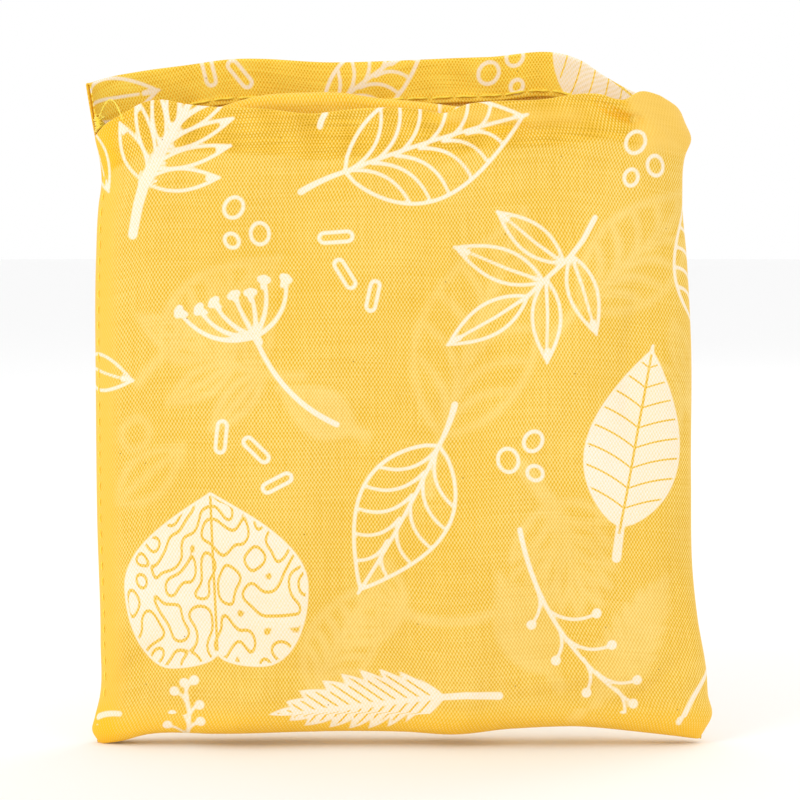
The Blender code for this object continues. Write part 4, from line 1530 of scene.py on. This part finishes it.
@dataclass
class FoldedTote:
    """The tote, two plies folded together three times, with a stitched hem and two strap handles."""

    half: float = 0.0518
    ply: float = 0.00075
    gap: float = 0.00035
    pitch: float = 0.0032
    crest: float = 0.12825
    lowest: float = 0.00465
    start: float = 0.0062
    end: float = 0.1215
    strap_half: float = 0.0125
    strap_ply: float = 0.0009
    strap_gap: float = 0.0004
    strap_top: float = 0.1180
    strap_long: float = 0.0700
    strap_edge: float = 0.0108
    box_half: float = 0.0083
    plan_half: float = 0.0600
    print_length: float = 126.0
    columns: int = 150
    strap_columns: int = 44
    cloth: bpy.types.Material = field(init=False, repr=False)
    webbing: bpy.types.Material = field(init=False, repr=False)
    thread: bpy.types.Material = field(init=False, repr=False)

    def path(self) -> tuple[np.ndarray, np.ndarray, np.ndarray]:
        """The middle line between both plies: up, over, down, under and up again, front to back.

        Returns:
            Depths and heights, unit normals that point to the front on the first leg, and the way along.
        """
        turn = self.pitch / 2
        over = np.linspace(0, np.pi, 15)
        top, low = self.crest - turn, self.lowest + turn
        up = np.linspace(self.start, top, 150)[:-1]
        down = np.linspace(top, low, 150)[1:-1]
        last = np.linspace(low, self.end, 150)[1:]
        first_leg = np.stack([np.full(up.shape, -self.pitch), up], 1)
        crest = np.stack([-turn - turn * np.cos(over), top + turn * np.sin(over)], 1)
        middle = np.stack([np.zeros(down.shape), down], 1)
        trough = np.stack([turn - turn * np.cos(over), low - turn * np.sin(over)], 1)
        third = np.stack([np.full(last.shape, self.pitch), last], 1)
        line = np.concatenate([first_leg, crest, middle, trough, third])
        way = unit(np.gradient(line, axis=0))
        normal = np.stack([-way[:, 1], way[:, 0]], 1)
        return line, normal, length_along(line)

    @staticmethod
    def ripple(x: np.ndarray, z: np.ndarray) -> np.ndarray:
        """How far every layer is pushed to the back: soft waves and the creases of earlier folds."""
        s, t = x / MM, z / MM
        total = Waves(31, 24.0, 70.0).at(s, t) * 0.30 + Waves(37, 9.0, 22.0).at(s, t) * 0.10
        for fold in TOTE_FOLDS:
            total += fold.at(s, t)
        return total * MM

    def bowed(self, x: np.ndarray, y: np.ndarray, z: np.ndarray) -> np.ndarray:
        """Depths y, scaled by the pouch's rounded plan and shifted by the ripple."""
        return (y + self.ripple(x, z)) * np.sqrt(np.clip(1 - (x / self.plan_half) ** 4, 0, 1))

    def shape(self, x: np.ndarray, y: np.ndarray, z: np.ndarray) -> np.ndarray:
        """Bends the flat bundle into the pouch: it closes up at its sides, ripples, and its crest sags.

        Depth is scaled by the pouch's plan and shifted by soft waves; height near the crest is
        shifted to the crest's own curve.
        """
        level = self.crest + self.ply + self.gap / 2
        sag = (through(TOTE_CREST, x / MM) * MM - level) * ease((z - 0.095) / 0.033)
        foot = ease((0.03 - z) / 0.03) * 0.0007 * (1 + np.sin(x * 120 + y * 900))
        pull = 0.0006 * (1 + np.sin(z * 95 + y * 800)) * (x / self.half) ** 3
        round_off = 0.0030 * (x / self.half) ** 8 * (ease((z - 0.112) / 0.016) + ease((0.016 - z) / 0.012))
        inset = pull + round_off * np.sign(x) * 0.6
        return np.stack([x - inset, self.bowed(x, y, z), z + sag + foot], -1)

    def sheet(
        self, name: str, near: float, far: float, nodes: tuple[str, ...], facing: int
    ) -> bpy.types.Object:
        """One ply along the path, as a grid on its outer face with a coarse face behind.

        Args:
            name: The piece's name.
            near: Offset of its face that looks outwards, along the path's normal.
            far: Offset of its other face.
            nodes: The nodes that it stands for.
            facing: 1 if its outer face looks along the path's normal, otherwise -1.

        Returns:
            The object.
        """
        line, normal, long = self.path()
        count = self.columns
        across = np.linspace(-self.half, self.half, count)
        across = across if facing > 0 else across[::-1]
        spot = line + normal * near
        x = np.broadcast_to(across, (len(line), count))
        points = self.shape(x, np.repeat(spot[:, :1], count, 1), np.repeat(spot[:, 1:], count, 1))
        flat = np.stack([x, np.repeat(long[:, None], count, 1)], -1)
        columns = np.unique(np.concatenate([np.arange(0, count, 3), [count - 1]]))
        mesh, source = cloth_shell(name, points, flat, abs(near - far), np.arange(len(line)), columns)
        s, t = flat[..., 0] / MM, flat[..., 1] / MM
        ink = InkField(s, np.mod(t, self.print_length)).add_all(TOTE_PRINT)
        zero = np.zeros(s.shape)
        rim = ease((np.abs(s) - 49.0) / 3.0) * 0.4
        fields = ink.fields() | {"ghost": zero + INK_REACH, "pale": zero, "double": zero + 0.4}
        # deep and dim: deeper and dimmer towards the sides; inner: a quarter of the hem's painted light and
        # stronger weave.
        fields |= {"deep": zero + 0.55 + rim, "dim": rim, "inner": zero + 0.25}
        put(mesh, **{k: np.ravel(v)[source] for k, v in fields.items()})
        made = link(name, mesh, self.cloth)
        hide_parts(*nodes)
        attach(made, "folded_tote")
        return made

    def strap(self, name: str, side: Side, node: str) -> None:
        """A strap folded over at its crown: its grid goes up the outer layer, over and down the inner one.

        Args:
            name: The piece's name.
            side: The side of the tote that it lies on.
            node: The node that it stands for, and the start of its stitches' nodes' names.
        """
        clearance = 0.0005
        tote_face = self.pitch + self.gap / 2 + self.ply
        middle = side.value * (tote_face + self.strap_ply + self.strap_gap / 2 + clearance)
        turn = (self.strap_gap + self.strap_ply) / 2
        low, top = self.strap_top - self.strap_long, self.strap_top - turn
        over = np.linspace(0, np.pi, 13)
        up = np.linspace(low, top, 90)[:-1]
        line = np.concatenate([
            np.stack([np.full(up.shape, middle + side.value * turn), up], 1),
            np.stack([middle + side.value * turn * np.cos(over), top + turn * np.sin(over)], 1),
            np.stack([np.full(up.shape, middle - side.value * turn), up[::-1]], 1),
        ])
        way = unit(np.gradient(line, axis=0))
        normal = np.stack([-way[:, 1], way[:, 0]], 1) * -side.value
        spot = line + normal * self.strap_ply / 2
        count = self.strap_columns
        across = np.linspace(-self.strap_half, self.strap_half, count)
        across = across if side is Side.FRONT else across[::-1]
        x = np.broadcast_to(across, (len(line), count))
        edge = (np.abs(x) / self.strap_half) ** 14 * 0.00015
        shift = normal[:, :1] * -edge
        y = np.repeat(spot[:, :1], count, 1) + shift
        z = np.repeat(spot[:, 1:], count, 1)
        points = np.stack([x, self.bowed(x, y, z), z], -1)
        long = length_along(line)
        flat = np.stack([x, np.repeat(long[:, None], count, 1)], -1)
        mesh, _ = cloth_shell(name, points, flat, self.strap_ply, np.arange(len(line)), np.arange(count))
        made = link(name, mesh, self.webbing)
        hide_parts(node)
        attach(made, "folded_tote")
        sewn, face, normals = [], points[: len(up)], grid_normals(points)
        for k, x_at in enumerate((-self.strap_edge, self.strap_edge)):
            column = int(np.abs(across - x_at).argmin())
            row = StitchRow(f"{name}_edge_stitching_{k}", (), length=0.0030, space=0.0005, seed=11 + k)
            sewn.append(row.build(points[4:88, column], normals[4:88, column], self.thread))
        for label, bottom in (("lower", low + 0.0015), ("upper", self.strap_top - 0.020)):
            sewn.append(self.box(f"{node}_stitching_{label}", face, across, bottom))
        for row in sewn:
            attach(row, "folded_tote")

    def box(self, node: str, face: np.ndarray, across: np.ndarray, bottom: float) -> bpy.types.Object:
        """The square and the cross of stitches that fix a strap, as one line that visits its corners.

        Args:
            node: The node that it stands for.
            face: The grid of the strap's outer layer.
            across: The x of each of its columns.
            bottom: The height of the square's lower side.

        Returns:
            The object.
        """
        visits = ((-1, -1), (1, -1), (1, 1), (-1, 1), (-1, -1), (1, 1), (1, -1), (-1, 1))
        corners = np.array(visits, float) * self.box_half
        t = np.linspace(0, len(corners) - 1, 400)
        x = np.interp(t, np.arange(len(corners)), corners[:, 0])
        z = np.interp(t, np.arange(len(corners)), corners[:, 1]) + bottom + self.box_half
        normals = grid_normals(face)
        order = np.argsort(across)
        column = order[np.clip(np.searchsorted(across[order], x), 0, len(across) - 1)]
        row = np.abs(face[:, :, 2].mean(1)[:, None] - z).argmin(0)
        spot = face[row, column].copy()
        spot[:, 0], spot[:, 2] = x, z
        stitched = StitchRow(f"{node}_thread", (node,), length=0.0030, space=0.0005, seed=17)
        return stitched.build(spot, normals[row, column], self.thread)

    def build(
        self, cloth: bpy.types.Material, webbing: bpy.types.Material, thread: bpy.types.Material
    ) -> None:
        """Makes both plies, their hems' stitches and both straps.

        Args:
            cloth: The plies' material.
            webbing: The straps' material.
            thread: The stitches' material.
        """
        self.cloth, self.webbing, self.thread = cloth, webbing, thread
        line, normal, long = self.path()
        inner, outer = self.gap / 2, self.gap / 2 + self.ply
        front = self.sheet("tote_front_cloth", outer, inner, ("tote_front_panel", "tote_front_hem"), 1)
        back = self.sheet("tote_back_cloth", -outer, -inner, ("tote_back_panel", "tote_back_hem"), -1)
        hems = ((front, "tote_front_hem_stitching", outer), (back, "tote_back_hem_stitching", -outer))
        for ply, name, offset in hems:
            x = np.linspace(-self.half + 0.002, self.half - 0.002, 240)
            at = line[-1] + normal[-1] * offset - np.array([0.0, 0.016])
            spot = self.shape(x, np.full(x.shape, at[0]), np.full(x.shape, at[1]))
            facing = np.tile([0.0, math.copysign(1.0, normal[-1][0] * offset), 0.0], (len(x), 1))
            row = StitchRow(name, (), length=0.0036, space=0.0006, seed=23).build(spot, facing, thread)
            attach(row, "folded_tote")
        self.strap("tote_handle_front", Side.FRONT, "handle_front")
        self.strap("tote_handle_back", Side.BACK, "handle_back")
        log.info("folded tote: %.0f mm of cloth in three legs", long[-1] / MM)


# ---------------------------------------------------------------- the studio
@dataclass(frozen=True)
class Studio:
    """A plain pale floor, soft light and a long lens a little above the horizon."""

    distance: float = 0.56
    elevation: float = 3.5
    picture_width: float = 0.160
    aim: tuple[float, float, float] = (-0.0004, 0.0, 0.0691)
    floor_sides: int = 64

    def floor(self) -> None:
        """The floor: a wide flat disc of rings, each farther out than the last."""
        turn = np.linspace(0, 2 * np.pi, self.floor_sides + 1)[:-1]
        radius = np.array([0.0005, 0.3, 1.0, 3.0, 9.0])
        grid = radius[:, None, None] * np.stack([np.cos(turn), np.sin(turn), 0 * turn], -1)
        index = np.arange(len(radius) * len(turn)).reshape(len(radius), len(turn))
        a, b = index[:-1], index[1:]
        faces = np.stack([a, b, np.roll(b, -1, 1), np.roll(a, -1, 1)], -1).reshape(-1, 4)
        flat = grid[..., :2].reshape(-1, 2)
        mesh = make_mesh("floor", grid.reshape(-1, 3), [index[0].tolist(), *faces.tolist()], flat)
        pale = {"Base Color": (0.95, 0.95, 0.95, 1), "Roughness": 0.9}
        mesh.materials.append(Graph("pale_floor").surface(pale))
        made = bpy.data.objects.new("floor", mesh)
        bpy.context.scene.collection.objects.link(made)

    def lamp(self, name: str, place: Sequence[float], size: float, power: float) -> None:
        """A soft square lamp that faces the pouch.

        Args:
            name: Its name.
            place: Where it stands.
            size: The length of its side.
            power: Its power in watts.
        """
        light = bpy.data.lights.new(name, "AREA")
        light.size, light.energy = size, power
        made = bpy.data.objects.new(name, light)
        made.location = place
        made.rotation_mode = "QUATERNION"
        made.rotation_quaternion = (Vector((0, 0, 0.07)) - Vector(place)).to_track_quat("-Z", "Y")
        bpy.context.scene.collection.objects.link(made)

    def build(self) -> None:
        """Sets up the floor, the light, the camera and the way colours show."""
        self.floor()
        world = bpy.data.worlds.new("studio")
        world.use_nodes = True
        world.node_tree.nodes["Background"].inputs["Color"].default_value = (1, 1, 1, 1)
        world.node_tree.nodes["Background"].inputs["Strength"].default_value = 1.0
        bpy.context.scene.world = world
        self.lamp("key", (-0.80, -0.90, 0.95), 0.45, 3.4)
        self.lamp("back", (0.7, 0.9, 0.9), 0.6, 2.2)
        lens = bpy.data.cameras.new("camera")
        lens.sensor_width = 36.0
        lens.lens = 36.0 * self.distance / self.picture_width
        lens.clip_start, lens.clip_end = 0.01, 20.0
        camera = bpy.data.objects.new("camera", lens)
        tilt = math.radians(self.elevation)
        aim = Vector(self.aim)
        camera.location = aim + Vector((0.0, -math.cos(tilt), math.sin(tilt))) * self.distance
        camera.rotation_mode = "QUATERNION"
        camera.rotation_quaternion = (aim - camera.location).to_track_quat("-Z", "Y")
        bpy.context.scene.collection.objects.link(camera)
        bpy.context.scene.camera = camera
        bpy.context.scene.view_settings.view_transform = "Standard"


# ---------------------------------------------------------------- putting it together
def pouch_threads(front: Panel, back: Panel, thread: bpy.types.Material) -> None:
    """The stitches along both hems and up two sides, and the tacks at both corners.

    Args:
        front: The front panel, already worked out.
        back: The back panel.
        thread: The thread's material.
    """
    s = np.linspace(-0.0560, 0.0560, 520)
    drop = 0.0080
    for panel, name, node in (
        (front, "front_hem_thread", "front_hem_stitching"),
        (back, "back_hem_thread", "back_hem_stitching"),
    ):
        order = np.argsort(panel.way)
        top = np.interp(s, panel.way[order], panel.top[order])
        spots, normals = panel.point_on(s, top - drop, True)
        row = StitchRow(name, (node,), thread=0.00030, space=0.0003, seed=3).build(spots, normals, thread)
        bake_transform(row)
    for panel, name, node, at in (
        (front, "left_side_thread", "side_topstitching_left", -0.0600),
        (back, "right_side_thread", "side_topstitching_right", 0.0600),
    ):
        column = int(np.abs(panel.way - at).argmin())
        keep = (panel.inner[:, 0] == 0) & (panel.up[:, column] > 0.008) & (panel.up[:, column] < 0.1150)
        spots, normals = panel.points[keep, column], grid_normals(panel.points)[keep, column]
        row = StitchRow(name, (node,), thread=0.00017, length=0.0022, space=0.0010, seed=8)
        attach(row.build(spots, normals, thread), "pouch")
    Tack("left_tack", "bar_tack_left", (-0.0600, -0.0006, 0.1241), -1).build(thread)
    Tack("right_tack", "bar_tack_right", (0.0545, 0.0002, 0.1208), 1, 10, tail=False, seed=6).build(thread)


def pouch_seams(cloth: bpy.types.Material) -> None:
    """The seam allowances inside the pouch, up both sides and along the base.

    Args:
        cloth: Their material.
    """
    z = np.linspace(0.009, 0.1165, 90)
    for name, node, edge, hand in (
        ("left_allowance", "side_seam_left", LEFT_EDGE, 1.0),
        ("right_allowance", "side_seam_right", RIGHT_EDGE, -1.0),
    ):
        x = through(edge, z / MM) * MM + hand * 0.0009
        line = np.stack([x, np.zeros(z.shape), z], 1)
        SeamStrip(name, node, line, np.tile([hand, 0.0, 0.0], (len(z), 1))).build(cloth)
    x = np.linspace(-0.050, 0.048, 90)
    line = np.stack([x, np.full(x.shape, 0.0006), through(BASE_LINE, x / MM) * MM + 0.0013], 1)
    inward = np.tile([0.0, 1.0, 0.0], (len(x), 1))
    SeamStrip("base_allowance", "bottom_seam", line, inward, 0.0034).build(cloth)


def main() -> None:
    """Builds the materials, then the pouch from its outside in, then the tote, then the studio."""
    logging.basicConfig(level=logging.INFO, format="%(name)s: %(message)s")
    printed = WovenCloth("printed_cloth").build()
    seam_colours = {"low": display(222, 160, 30), "high": display(250, 214, 110)}
    plain = WovenCloth("seam_cloth", ink=False, **seam_colours).build()
    tote_cloth = WovenCloth("tote_cloth").build()
    thread = Thread("yellow_thread").build()
    webbing = Webbing("strap_webbing").build()
    front = Panel(
        "front_cloth", Side.FRONT, "pouch", "front_lip", ("pouch_front_panel", "front_mouth_hem"),
        FRONT_MOUTH, FRONT_PRINT, FRONT_GHOST, FRONT_FOLDS, FRONT_CREASE_SHADES, 12,
    )
    back = Panel(
        "back_cloth", Side.BACK, "pouch", "back_lip", ("pouch_back_panel", "back_mouth_hem"), BACK_MOUTH,
        BACK_PRINT + BACK_HEM_PRINT, FRONT_GHOST, BACK_FOLDS, (), 47,
        bend_start=(0.0, 0.0060, 0.1305), bend_end=(0.0, 0.0105, 0.1340),
    )
    for panel in (front, back):
        panel.build()
        panel.dress(printed)
    pouch_threads(front, back, thread)
    pouch_seams(plain)
    FoldedTote().build(tote_cloth, webbing, thread)
    Studio().build()


if __name__ == "__main__":
    main()
